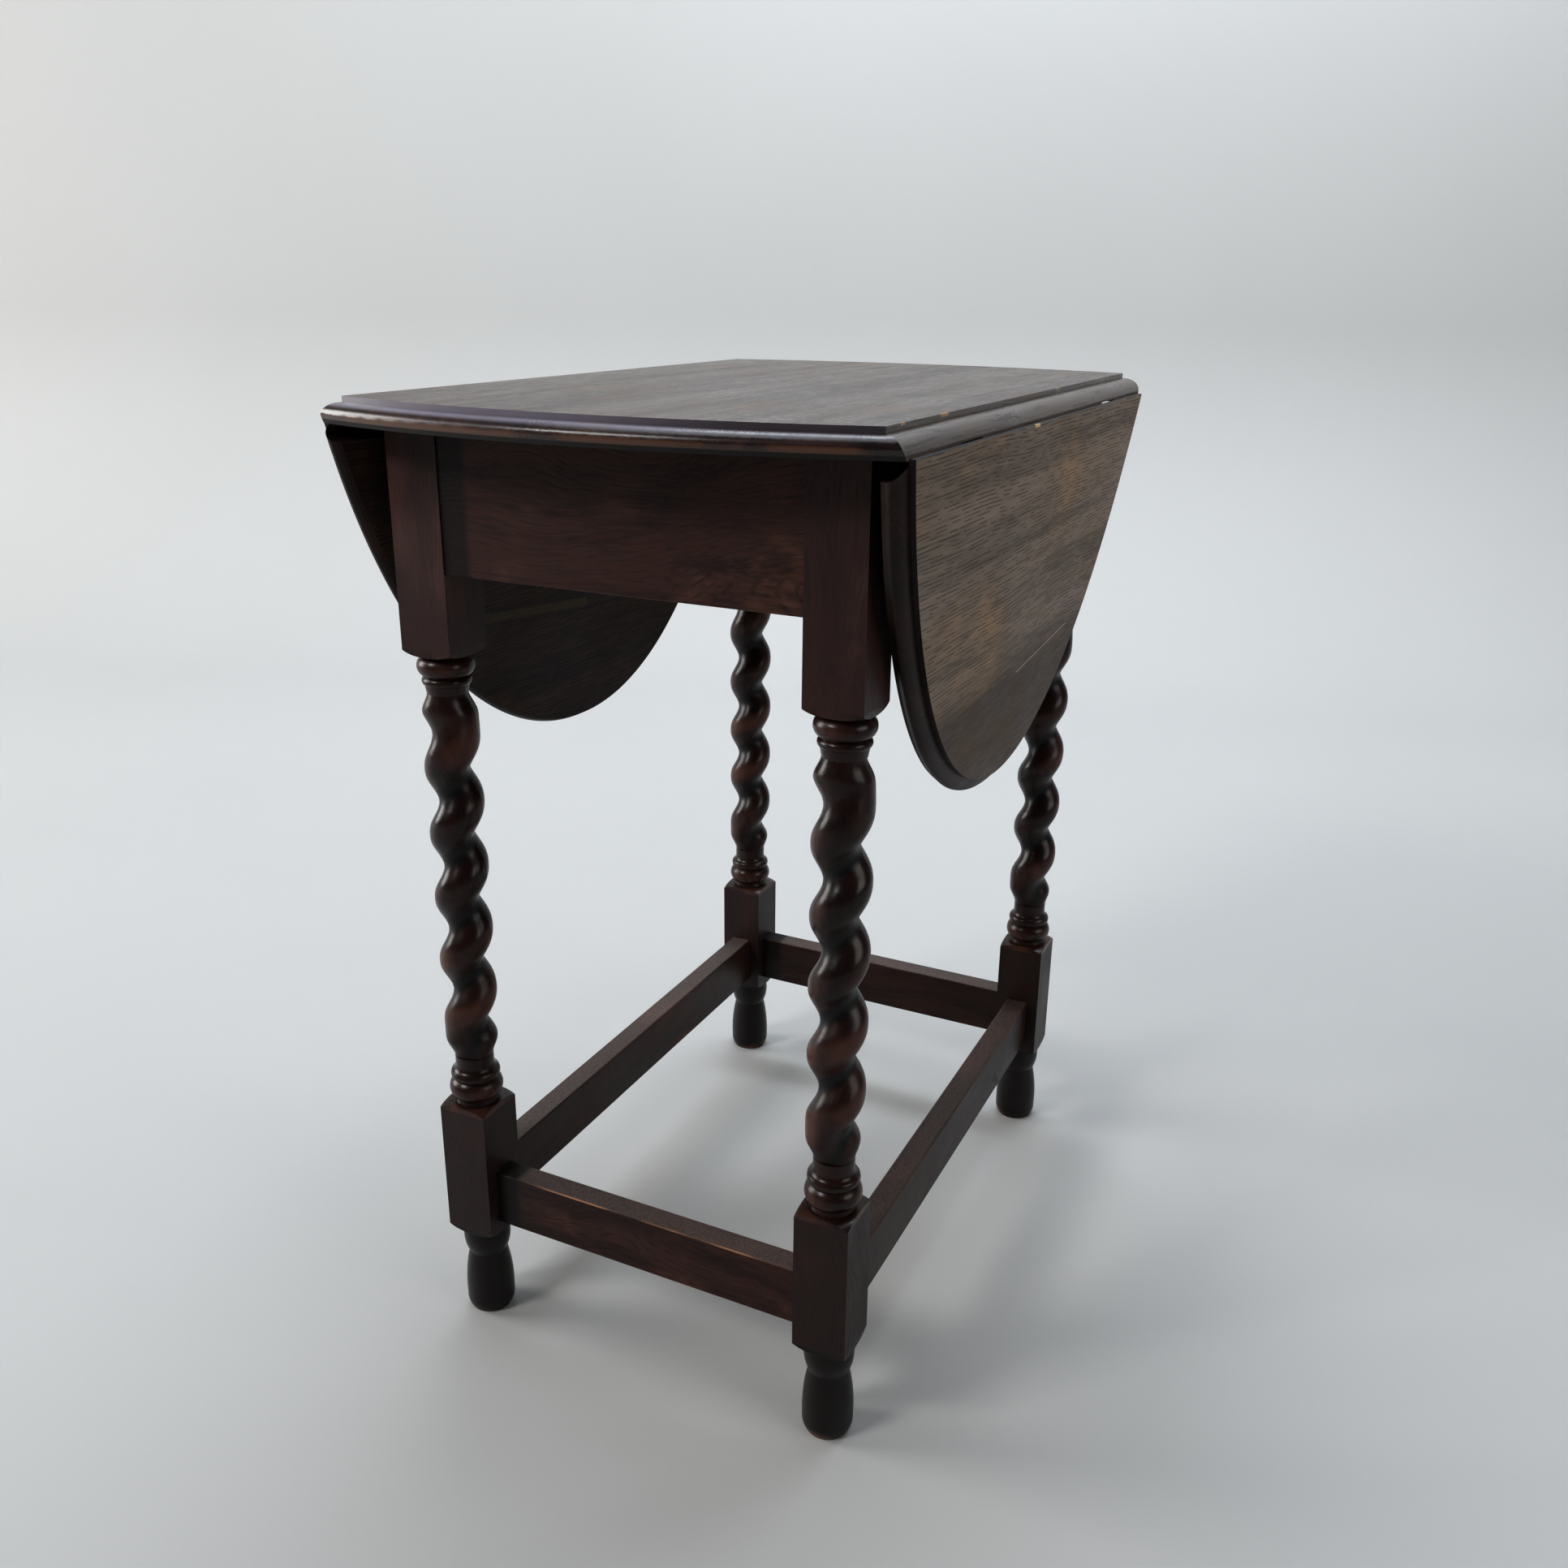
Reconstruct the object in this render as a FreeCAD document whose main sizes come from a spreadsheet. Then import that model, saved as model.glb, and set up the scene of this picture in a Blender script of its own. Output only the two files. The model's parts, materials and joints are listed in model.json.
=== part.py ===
"""Drop-leaf table with an oval top, four twisted corner legs and a box stretcher.

Frame: +Z up, origin on the floor under the middle of the top. X runs across the table, and the leaves hang on
the +X and -X sides. Y runs along the rule joints, and the front is -Y. Sizes are millimetres and degrees.
"""
import FreeCAD, Part
import Sketcher
import math
import os
import re

doc = FreeCAD.newDocument("DropLeafTable")
sheet = doc.addObject("Spreadsheet::Sheet", "Sizes")

SIZES = {
    # overall
    "table_height": 710,
    "frame_width": 338,
    "frame_length": 498.4,
    "open_width": 881,
    "top_depth": 590.4,
    # top and its moulded edge
    "top_thick": 17,
    "step_height": 4,
    "thumb_reach": 10.4,
    "thumb_drop": 7,
    "nose_round": 1.5,
    "edge_tuck": 2.9,
    # rule joint
    "centre_width": 368,
    "quirk": 1.5,
    "ovolo_radius": 12,
    "joint_gap": 0.3,
    "right_lean": 5.1,
    "left_lean": -1,
    # legs
    "leg_square": 40,
    "foot_block_low": 80.4,
    "foot_block_high": 185.8,
    "head_block_low": 543.7,
    "shoulder_rise": 4.3,
    "shoulder_radius": 19,
    "bead_radius": 19.85,
    "ridge_radius": 19.95,
    "valley_radius": 11.3,
    "twist_pitch": 49.5,
    "twist_low": 229,
    "twist_high": 512,
    "twist_swell": 17,
    "groove_start_low": 8,
    "groove_fade_low": 12,
    "groove_fade_high": 41,
    "twist_level": 456.9,
    "twist_bearing": 219.6,
    "neck_radius": 14.3,
    "foot_radius": 18.6,
    "floor_radius": 15.8,
    "ankle_radius": 14.7,
    # frieze and rails
    "apron_depth": 95,
    "apron_thick": 19,
    "apron_setback": 1,
    "rail_thick": 17,
    "arris": 0.8,
    # stretchers
    "stretcher_low": 87.5,
    "stretcher_depth": 45,
    "stretcher_thick": 19,
    "stretcher_arris": 1.6,
    # tenons
    "tenon_long": 14,
    "tenon_thick": 8,
    "tenon_shoulder": 6,
    "tenon_gap": 1,
    # fly brackets
    "fly_thick": 18,
    "fly_depth": 46,
    "fly_long": 150,
    "fly_place": -30,
    "fly_setback": 1.5,
    "fly_gap": 0.5,
    "fly_block_long": 90,
    "fly_pin_radius": 3,
    "knuckle_gap": 0.3,
    "pin_play": 0.05,
    # hinges
    "hinge_place": 165,
    "hinge_wide": 38,
    "hinge_thick": 1.5,
    "hinge_knuckle": 2.5,
    "hinge_pin_radius": 1.2,
    "hinge_pin_height": 1,
    "plate_long": 26,
    "strap_long": 42,
    "hinge_neck": 4,
    # screws
    "screw_radius": 1.6,
    "screw_head": 3.3,
    "screw_long": 12,
    "screw_play": 0.05,
    "block_screw_radius": 2,
    "block_screw_head": 4,
    "block_screw_sink": 12,
    # glue blocks
    "corner_block": 28,
    "corner_block_depth": 50,
}

FORMULAS = {
    "underside": "table_height - top_thick",
    "leg_half": "leg_square / 2",
    "leg_x": "frame_width / 2 - leg_half",
    "leg_y": "frame_length / 2 - leg_half",
    "thumb_foot": "table_height - step_height - thumb_drop",
    "fillet_x": "centre_width / 2",
    "pin_x": "fillet_x + quirk",
    "pin_z": "underside + hinge_pin_height",
    "ovolo_top": "pin_z + ovolo_radius",
    "ovolo_foot": "pin_x + sqrt(ovolo_radius ^ 2 - hinge_pin_height ^ 2)",
    "cove_wrap": "ovolo_radius + joint_gap",
    "apron_y": "frame_length / 2 - apron_setback - apron_thick",
    "fly_face": "frame_width / 2 - fly_setback",
    "fly_axis": "fly_face - fly_thick / 2",
    "fly_back": "fly_face - fly_thick",
    "rail_face": "fly_back - fly_gap",
    "rail_back": "rail_face - rail_thick",
    "fly_top": "underside - fly_gap",
    "fly_base": "fly_top - fly_depth",
    "fly_third": "fly_depth / 3",
    "fly_knuckle": "fly_thick / 2",
    "plate_end": "pin_x - hinge_neck - plate_long",
    "strap_end": "pin_x + hinge_neck + strap_long",
    "knuckle_third": "hinge_wide / 4",
    "stretcher_high": "stretcher_low + stretcher_depth",
    "block_x": "leg_x - leg_half - corner_block / 2",
    "block_y": "apron_y - corner_block / 2",
}

MATH_NAMES = {"sqrt", "sin", "cos", "tan"}
SCRATCH_CELL = "H1"


def fill_sheet():
    """Put every size and derived size into the sheet, each under its own name."""
    rows = [(name, str(value)) for name, value in SIZES.items()]
    rows += [(name, "=" + formula) for name, formula in FORMULAS.items()]
    for index, (name, content) in enumerate(rows, start=1):
        sheet.set("A%d" % index, name)
        sheet.set("B%d" % index, content)
        sheet.setAlias("B%d" % index, name)
    doc.recompute()


def value(formula):
    """Return the number that a formula of size names gives."""
    sheet.set(SCRATCH_CELL, "=" + formula)
    sheet.recompute()
    number = float(sheet.get(SCRATCH_CELL))
    sheet.clear(SCRATCH_CELL)
    return number


def in_sheet(formula):
    """Return the formula with each size name pointing at the sheet."""
    def point(match):
        word = match.group(0)
        return word if word in MATH_NAMES else "Sizes." + word
    return re.sub(r"[A-Za-z_][A-Za-z_0-9]*", point, formula)


def bind(thing, prop, formula):
    """Tie a property to a formula of the sheet's sizes."""
    thing.setExpression(prop, in_sheet(formula))


def place(thing, x="0", y="0", z="0"):
    """Tie an object's position to three formulas."""
    for axis, formula in (("x", x), ("y", y), ("z", z)):
        bind(thing, "Placement.Base." + axis, formula)


def box(label, low, size):
    """Return a box from its low corner and its three sizes."""
    thing = doc.addObject("Part::Box", label)
    for prop, formula in zip(("Length", "Width", "Height"), size):
        bind(thing, prop, formula)
    place(thing, *low)
    return thing


def rod(label, centre, radius, length, direction="z"):
    """Return a cylinder that starts at centre and runs along +X, +Y or +Z."""
    thing = doc.addObject("Part::Cylinder", label)
    bind(thing, "Radius", radius)
    bind(thing, "Height", length)
    turn = {"x": FreeCAD.Vector(0, 1, 0), "y": FreeCAD.Vector(-1, 0, 0), "z": FreeCAD.Vector(0, 0, 1)}
    thing.Placement.Rotation = FreeCAD.Rotation(turn[direction], 0 if direction == "z" else 90)
    place(thing, *centre)
    return thing


def cone(label, centre, radius_low, radius_high, length, direction="z"):
    """Return a cone that starts at centre and runs along +Z or -X."""
    thing = doc.addObject("Part::Cone", label)
    bind(thing, "Radius1", radius_low)
    bind(thing, "Radius2", radius_high)
    bind(thing, "Height", length)
    if direction == "-x":
        thing.Placement.Rotation = FreeCAD.Rotation(FreeCAD.Vector(0, 1, 0), -90)
    place(thing, *centre)
    return thing


def join(label, pieces):
    """Return one solid made of pieces that meet."""
    thing = doc.addObject("Part::MultiFuse", label)
    thing.Shapes = pieces
    thing.Refine = True
    return thing


def gather(label, pieces):
    """Return separate solids as one group."""
    thing = doc.addObject("Part::Compound", label)
    thing.Links = pieces
    return thing


def cut(label, base, tools):
    """Return the base with every tool taken away."""
    thing = doc.addObject("Part::Cut", label)
    thing.Base = base
    thing.Tool = tools[0] if len(tools) == 1 else gather(label + "_tools", tools)
    return thing


def common(label, first, second):
    """Return what two solids share."""
    thing = doc.addObject("Part::Common", label)
    thing.Base = first
    thing.Tool = second
    return thing


def mirrored(label, source, normal):
    """Return the source's mirror image across the plane through the origin with this normal."""
    thing = doc.addObject("Part::Mirroring", label)
    thing.Source = source
    thing.Base = FreeCAD.Vector(0, 0, 0)
    thing.Normal = FreeCAD.Vector(*normal)
    return thing


ACROSS = (1, 0, 0)
ALONG = (0, 1, 0)


def new_body(label):
    """Return a new body."""
    return doc.addObject("PartDesign::Body", label)


def origin_plane(body, role):
    """Return one of the body's own origin planes."""
    return next(item for item in body.Origin.OriginFeatures if item.Role == role)


def outline(body, label, role, points, arcs):
    """Draw a closed outline on one of the body's origin planes.

    points are pairs of formulas in order round the outline. arcs gives, for a point's index, the radius of the
    counter-clockwise arc (or, with a minus sign in front, the clockwise arc) that leaves that point.
    """
    sketch = body.newObject("Sketcher::SketchObject", label)
    sketch.AttachmentSupport = (origin_plane(body, role), [""])
    sketch.MapMode = "FlatFace"
    places = [FreeCAD.Vector(value(x), value(y), 0) for x, y in points]
    ends = []
    for index, start in enumerate(places):
        finish = places[(index + 1) % len(places)]
        if index not in arcs:
            sketch.addGeometry(Part.LineSegment(start, finish), False)
            ends.append((1, 2))
            continue
        clockwise = arcs[index].startswith("-")
        radius = value(arcs[index].lstrip("-"))
        chord = finish - start
        height = math.sqrt(max(radius ** 2 - chord.Length ** 2 / 4, 0))
        side = FreeCAD.Vector(-chord.y, chord.x, 0).normalize()
        middle = (start + finish) / 2 + side * (-height if clockwise else height)
        first, last = (finish, start) if clockwise else (start, finish)
        angles = [math.atan2(p.y - middle.y, p.x - middle.x) for p in (first, last)]
        circle = Part.Circle(middle, FreeCAD.Vector(0, 0, 1), radius)
        sketch.addGeometry(Part.ArcOfCircle(circle, angles[0], angles[1]), False)
        ends.append((2, 1) if clockwise else (1, 2))
    for index, (x, y) in enumerate(points):
        before = index - 1 if index else len(points) - 1
        sketch.addConstraint(Sketcher.Constraint("Coincident", before, ends[before][1], index, ends[index][0]))
        for kind, formula, number in (("DistanceX", x, places[index].x), ("DistanceY", y, places[index].y)):
            row = sketch.addConstraint(Sketcher.Constraint(kind, -1, 1, index, ends[index][0], number))
            sketch.setExpression("Constraints[%d]" % row, in_sheet(formula))
        if index in arcs:
            radius = arcs[index].lstrip("-")
            row = sketch.addConstraint(Sketcher.Constraint("Radius", index, value(radius)))
            sketch.setExpression("Constraints[%d]" % row, in_sheet(radius))
    return sketch


def turned(label, points, arcs):
    """Return a solid of revolution about the Z axis from its half outline."""
    body = new_body(label)
    sketch = outline(body, label + "_outline", "XZ_Plane", points, arcs)
    feature = body.newObject("PartDesign::Revolution", label + "_turning")
    feature.Profile = sketch
    feature.ReferenceAxis = (sketch, ["V_Axis"])
    feature.Angle = 360
    return body


def long_board(label, points, arcs, length):
    """Return a body of one XZ section, run equally far each way along Y."""
    body = new_body(label)
    sketch = outline(body, label + "_section", "XZ_Plane", points, arcs)
    feature = body.newObject("PartDesign::Pad", label + "_run")
    feature.Profile = sketch
    feature.SideType = "Symmetric"
    bind(feature, "Length", length)
    return body


def rail(label, low, size, grain, arris, tenons):
    """Return a rail with softened long edges and its tenons, as one body."""
    body = new_body(label)
    main = body.newObject("PartDesign::AdditiveBox", label + "_board")
    for prop, formula in zip(("Length", "Width", "Height"), size):
        bind(main, prop, formula)
    place(main, *low)
    doc.recompute()
    edges = []
    for index, edge in enumerate(main.Shape.Edges, start=1):
        run = edge.Vertexes[1].Point - edge.Vertexes[0].Point
        if abs(run.normalize().dot(FreeCAD.Vector(*grain))) > 0.99:
            edges.append("Edge%d" % index)
    soft = body.newObject("PartDesign::Fillet", label + "_arrises")
    soft.Base = (main, edges)
    bind(soft, "Radius", arris)
    for number, (tenon_low, tenon_size) in enumerate(tenons, start=1):
        tenon = body.newObject("PartDesign::AdditiveBox", "%s_tenon_%d" % (label, number))
        for prop, formula in zip(("Length", "Width", "Height"), tenon_size):
            bind(tenon, prop, formula)
        place(tenon, *tenon_low)
    return body


# ---------------------------------------------------------------- top

EDGE_THUMB = (0, 15, 30, 45, 60, 75, 90)
EDGE_NOSE = (9, 18, 27)


def thumb_sections():
    """Return the (outward, level) formulas of the thumb moulding, from the step down round the nose."""
    rows = []
    for angle in EDGE_THUMB:
        rows.append(("thumb_reach * sin(%d)" % angle, "thumb_foot + thumb_drop * cos(%d)" % angle))
    for angle in EDGE_NOSE:
        rows.append(("thumb_reach - nose_round * (1 - cos(%d))" % angle,
                     "thumb_foot - nose_round * sin(%d)" % angle))
    return rows


def oval(label, outward, level):
    """Return the oval of the top, moved outward, at a level."""
    thing = doc.addObject("Part::Ellipse", label)
    bind(thing, "MajorRadius", "open_width / 2 + " + outward)
    bind(thing, "MinorRadius", "top_depth / 2 + " + outward)
    place(thing, z=level)
    return thing


def lofted(label, rows):
    """Return the solid that runs through ovals given as (outward, level)."""
    thing = doc.addObject("Part::Loft", label)
    thing.Sections = [oval("%s_%d" % (label, number), out, level) for number, (out, level) in enumerate(rows)]
    thing.Solid = True
    thing.Ruled = len(rows) == 2
    return thing


def oval_top():
    """Return the whole oval top with its moulded edge, before it is cut into three boards."""
    plate = doc.addObject("Part::Extrusion", "oval_plate")
    plate.Base = oval("oval_face", "0", "table_height - step_height")
    plate.DirMode = "Custom"
    plate.Dir = FreeCAD.Vector(0, 0, 1)
    plate.Solid = True
    bind(plate, "LengthFwd", "step_height")
    rows = thumb_sections()
    under = [rows[-1], ("thumb_reach - edge_tuck", "underside")]
    return join("oval_top", [plate, lofted("thumb_ledge", rows[:2]), lofted("thumb", rows[1:]),
                             lofted("under_bevel", under)])


def hinge_spots(sign_x):
    """Return the (x, y) formulas of the three screws of a hinge flap, y from the hinge's middle."""
    if sign_x < 0:
        near, far = "pin_x - hinge_neck - 7", "pin_x - hinge_neck - 19"
        return [(near, "-11"), (near, "11"), (far, "0")]
    near, far = "pin_x + hinge_neck + 14", "pin_x + hinge_neck + 33"
    return [(near, "-11"), (near, "11"), (far, "0")]


HINGE_ENDS = (("front", "-hinge_place"), ("back", "hinge_place"))


def pilots(label, sign_x, middle):
    """Return the pilot holes in the wood over one hinge flap."""
    holes = []
    for number, (x, y) in enumerate(hinge_spots(sign_x)):
        holes.append(rod("%s_%d" % (label, number), (x, middle + " + " + y, "underside"),
                         "screw_radius + screw_play", "screw_long + 1"))
    return holes


def hinge_gains_top(name, middle):
    """Return the tools that let one hinge into the underside of the centre board, on the right."""
    wide = "hinge_wide + 2 * joint_gap"
    low_y = middle + " - hinge_wide / 2 - joint_gap"
    seat = box("gain_plate_" + name, ("plate_end", middle + " - hinge_wide / 2", "underside - 1"),
               ("plate_long + 1", "hinge_wide", "hinge_thick + 1"))
    groove = box("gain_knuckle_" + name, ("pin_x - hinge_neck - joint_gap", low_y, "underside - 1"),
                 ("2 * hinge_neck + joint_gap", wide, "1 + hinge_pin_height + hinge_knuckle + joint_gap"))
    way = box("gain_strap_" + name, ("pin_x", low_y, "underside - 1"),
              ("ovolo_radius + 3", wide, "1 + hinge_thick + joint_gap"))
    return [seat, groove, way] + pilots("pilot_top_" + name, -1, middle)


def make_top(whole):
    """Return the centre board with an ovolo along both sides."""
    high = "table_height + 5"
    low = "underside - 5"
    right = [("fillet_x", high), ("fillet_x", "ovolo_top"), ("pin_x", "ovolo_top"), ("ovolo_foot", "underside"),
             ("ovolo_foot", low)]
    left = [("-" + x, z) for x, z in reversed(right)]
    points = list(reversed(right)) + list(reversed(left))
    prism = long_board("centre_section", points, {1: "ovolo_radius", 7: "ovolo_radius"}, "top_depth + 100")
    blank = common("centre_blank", whole, prism)
    gains = []
    for end, middle in HINGE_ENDS:
        right_gains = hinge_gains_top(end, middle)
        gains += right_gains
        gains += [mirrored(tool.Label + "_left", tool, ACROSS) for tool in right_gains]
    for end_name, sign_y in (("front", "-"), ("back", "")):
        for side_name, sign_x in (("right", ""), ("left", "-")):
            gains.append(rod("block_pilot_%s_%s" % (end_name, side_name),
                             (sign_x + "block_x", sign_y + "block_y", "underside"),
                             "block_screw_radius + screw_play", "block_screw_sink + 1"))
    return cut("top_centre", blank, gains)


def hang(thing, lean):
    """Turn a piece of the right leaf, drawn level, about the hinge pin to where it hangs, lean past plumb."""
    turn = "(90 + %s)" % lean
    thing.Placement.Rotation = FreeCAD.Rotation(FreeCAD.Vector(0, 1, 0), 1)
    bind(thing, "Placement.Rotation.Angle", turn)
    place(thing, x="pin_x - pin_x * cos(%s) - pin_z * sin(%s)" % (turn, turn),
          z="pin_z + pin_x * sin(%s) - pin_z * cos(%s)" % (turn, turn))
    return thing


def sided(side, label, draw):
    """Return a node of one side. draw(label) makes it on the right, and the left one is its mirror image."""
    if side == "right":
        return draw(label)
    return mirrored(label, draw(label + "_drawn"), ACROSS)


LEAVES = (("right", "right_lean"), ("left", "left_lean"))


def draw_leaf(label, whole):
    """Return the right leaf, drawn level."""
    lip = "ovolo_top + joint_gap"
    edge = "fillet_x + joint_gap"
    far = "open_width / 2 + 50"
    points = [(edge, "table_height + 5"), (edge, lip), ("pin_x", lip), ("pin_x + cove_wrap", "pin_z"),
              ("pin_x + cove_wrap", "underside - 5"), (far, "underside - 5"), (far, "table_height + 5")]
    prism = long_board(label + "_section", points, {2: "-cove_wrap"}, "top_depth + 100")
    blank = common(label + "_blank", whole, prism)
    gains = []
    for end, middle in HINGE_ENDS:
        gains.append(box("%s_gain_%s" % (label, end),
                         ("pin_x + ovolo_radius", middle + " - hinge_wide / 2", "underside - 1"),
                         ("hinge_neck + strap_long - ovolo_radius", "hinge_wide", "hinge_thick + 1")))
        gains += pilots("%s_pilot_%s" % (label, end), 1, middle)
    return cut(label, blank, gains)


def make_leaves(whole):
    """Return the two leaves, hanging."""
    return [sided(side, "leaf_" + side, lambda label: hang(draw_leaf(label, whole), lean)) for side, lean in LEAVES]


# ---------------------------------------------------------------- hinges

def hinge_flap(label, name, sign, middle):
    """Return one flap of a hinge, drawn level: the short plate (sign -1) or the long strap (sign 1)."""
    low_y = middle + " - hinge_wide / 2"
    if sign < 0:
        flap = box(label + "_flap", ("plate_end", low_y, "underside"), ("plate_long", "hinge_wide", "hinge_thick"))
        neck_x = "pin_x - hinge_neck"
        barrels = [("a", low_y, "knuckle_third"),
                   ("b", middle + " + hinge_wide / 2 - knuckle_third", "knuckle_third")]
    else:
        flap = box(label + "_flap", ("pin_x + hinge_neck", low_y, "underside"),
                   ("strap_long", "hinge_wide", "hinge_thick"))
        neck_x = "pin_x"
        barrels = [("a", middle + " - hinge_wide / 2 + knuckle_third + joint_gap",
                    "hinge_wide - 2 * knuckle_third - 2 * joint_gap")]
    pieces = [flap]
    tools = []
    for mark, start, length in barrels:
        pieces.append(rod(label + "_barrel_" + mark, ("pin_x", start, "pin_z"), "hinge_knuckle", length, "y"))
        pieces.append(box(label + "_neck_" + mark, (neck_x, start, "underside"), ("hinge_neck", length, "hinge_thick")))
    tools.append(rod(label + "_bore", ("pin_x", low_y + " - 1", "pin_z"), "hinge_pin_radius + pin_play",
                     "hinge_wide + 2", "y"))
    for number, (x, y) in enumerate(hinge_spots(sign)):
        spot = (x, middle + " + " + y, "underside")
        tools.append(cone("%s_sink_%d" % (label, number), spot, "screw_head + 2 * screw_play",
                          "screw_radius + 2 * screw_play", "hinge_thick"))
    return cut(name, join(label + "_whole", pieces), tools)


def hinge_screws(label, sign, middle):
    """Return the three countersunk screws of one flap, drawn level."""
    screws = []
    for number, (x, y) in enumerate(hinge_spots(sign)):
        spot_y = middle + " + " + y
        head = cone("%s_head_%d" % (label, number), (x, spot_y, "underside + screw_play"), "screw_head",
                    "screw_radius", "hinge_thick")
        shank = rod("%s_shank_%d" % (label, number), (x, spot_y, "underside + hinge_thick"), "screw_radius",
                    "screw_long - hinge_thick")
        screws.append(join("%s_%d" % (label, number), [head, shank]))
    return screws


def hinge_pin(label, middle):
    """Return the pin of one hinge."""
    return rod(label, ("pin_x", middle + " - hinge_wide / 2", "pin_z"), "hinge_pin_radius", "hinge_wide", "y")


def make_hinges():
    """Return the nodes of the four hinges and the three groups of their screws."""
    nodes = []
    top_screws = []
    for side, lean in LEAVES:
        leaf_screws = []
        for end, middle in HINGE_ENDS:
            place_name = "%s_%s" % (side, end)
            nodes.append(sided(side, "hinge_plate_" + place_name,
                               lambda label: hinge_flap("plate_" + place_name, label, -1, middle)))
            nodes.append(sided(side, "hinge_strap_" + place_name,
                               lambda label: hang(hinge_flap("strap_" + place_name, label, 1, middle), lean)))
            nodes.append(sided(side, "hinge_pin_" + place_name, lambda label: hinge_pin(label, middle)))
            leaf_screws += hinge_screws("screw_leaf_" + place_name, 1, middle)
        nodes.append(sided(side, "hinge_screws_" + side, lambda label: hang(gather(label, leaf_screws), lean)))
        plate_screws = []
        for end, middle in HINGE_ENDS:
            plate_screws += hinge_screws("screw_top_%s_%s" % (side, end), -1, middle)
        top_screws.append(sided(side, "top_hinge_screws_" + side, lambda label: gather(label, plate_screws)))
    nodes.append(gather("hinge_screws_top", top_screws))
    return nodes


# ---------------------------------------------------------------- legs

def bulge(height, rise):
    """Return the formula of the radius of an arc over a chord of this height that rises this far."""
    return "((%s) ^ 2 / 4 + (%s) ^ 2) / (2 * (%s))" % (height, rise, rise)


def leg_head():
    """Return the top of a leg: half bead, bead, shoulder and square block."""
    corner = "leg_square * 0.73"
    groove = "bead_radius - 4.6"
    points = [
        ("0", "twist_high"),
        ("neck_radius", "twist_high"),
        ("neck_radius + 1.2", "twist_high + 6"),
        ("neck_radius + 1.7", "twist_high + 11.5"),
        (groove, "twist_high + 12.2"),
        (groove, "head_block_low - shoulder_rise - 0.8"),
        ("bead_radius - 3.7", "head_block_low - shoulder_rise"),
        (corner, "head_block_low + 0.6"),
        (corner, "underside"),
        ("0", "underside"),
    ]
    arcs = {
        2: "3.4",
        4: bulge("head_block_low - shoulder_rise - 13 - twist_high", "4.6"),
        6: "shoulder_radius",
    }
    whole = turned("head_turning", points, arcs)
    square = box("head_square", ("-leg_half", "-leg_half", "twist_high"), ("leg_square", "leg_square",
                 "underside - twist_high"))
    return common("leg_head", whole, square)


def leg_foot():
    """Return the bottom of a leg: turned foot, square block, bead and flare."""
    corner = "leg_square * 0.73"
    groove = "bead_radius - 4.6"
    points = [
        ("0", "0"),
        ("floor_radius", "0"),
        ("foot_radius", "foot_block_low - 69"),
        ("ankle_radius", "foot_block_low - 28"),
        ("foot_radius - 1.6", "foot_block_low - shoulder_rise"),
        (corner, "foot_block_low + 0.6"),
        (corner, "foot_block_high - 0.6"),
        ("bead_radius - 3.7", "foot_block_high + shoulder_rise"),
        (groove, "foot_block_high + shoulder_rise + 3"),
        ("bead_radius - 3.2", "twist_low - 20"),
        ("bead_radius - 2.9", "twist_low - 19.4"),
        ("bead_radius - 2.4", "twist_low - 13"),
        ("neck_radius", "twist_low - 8"),
        ("neck_radius", "twist_low"),
        ("0", "twist_low"),
    ]
    arcs = {
        1: "18",
        2: "150",
        3: "33",
        4: "shoulder_radius",
        6: "shoulder_radius",
        8: bulge("twist_low - 23 - foot_block_high - shoulder_rise", "4"),
        10: "5",
        11: "-6",
    }
    whole = turned("foot_turning", points, arcs)
    square = box("foot_square", ("-leg_half", "-leg_half", "0"), ("leg_square", "leg_square", "twist_low"))
    return common("leg_foot", whole, square)


TWIST_SPANS_PER_TURN = 20
TWIST_POLES_ROUND = 24
TWIST_DEGREE = 3
RIDGE_BREADTH = 1.35
NECK_TUCK = 0.3


def smooth(part):
    """Return 0 below 0 and 1 above 1, rising smoothly between."""
    part = min(max(part, 0), 1)
    return part * part * (3 - 2 * part)


def facing(face, direction):
    """Return the face turned, if need be, so that its normal looks along the direction."""
    if face.normalAt(0, 0).dot(direction) < 0:
        face.reverse()
    return face


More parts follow.
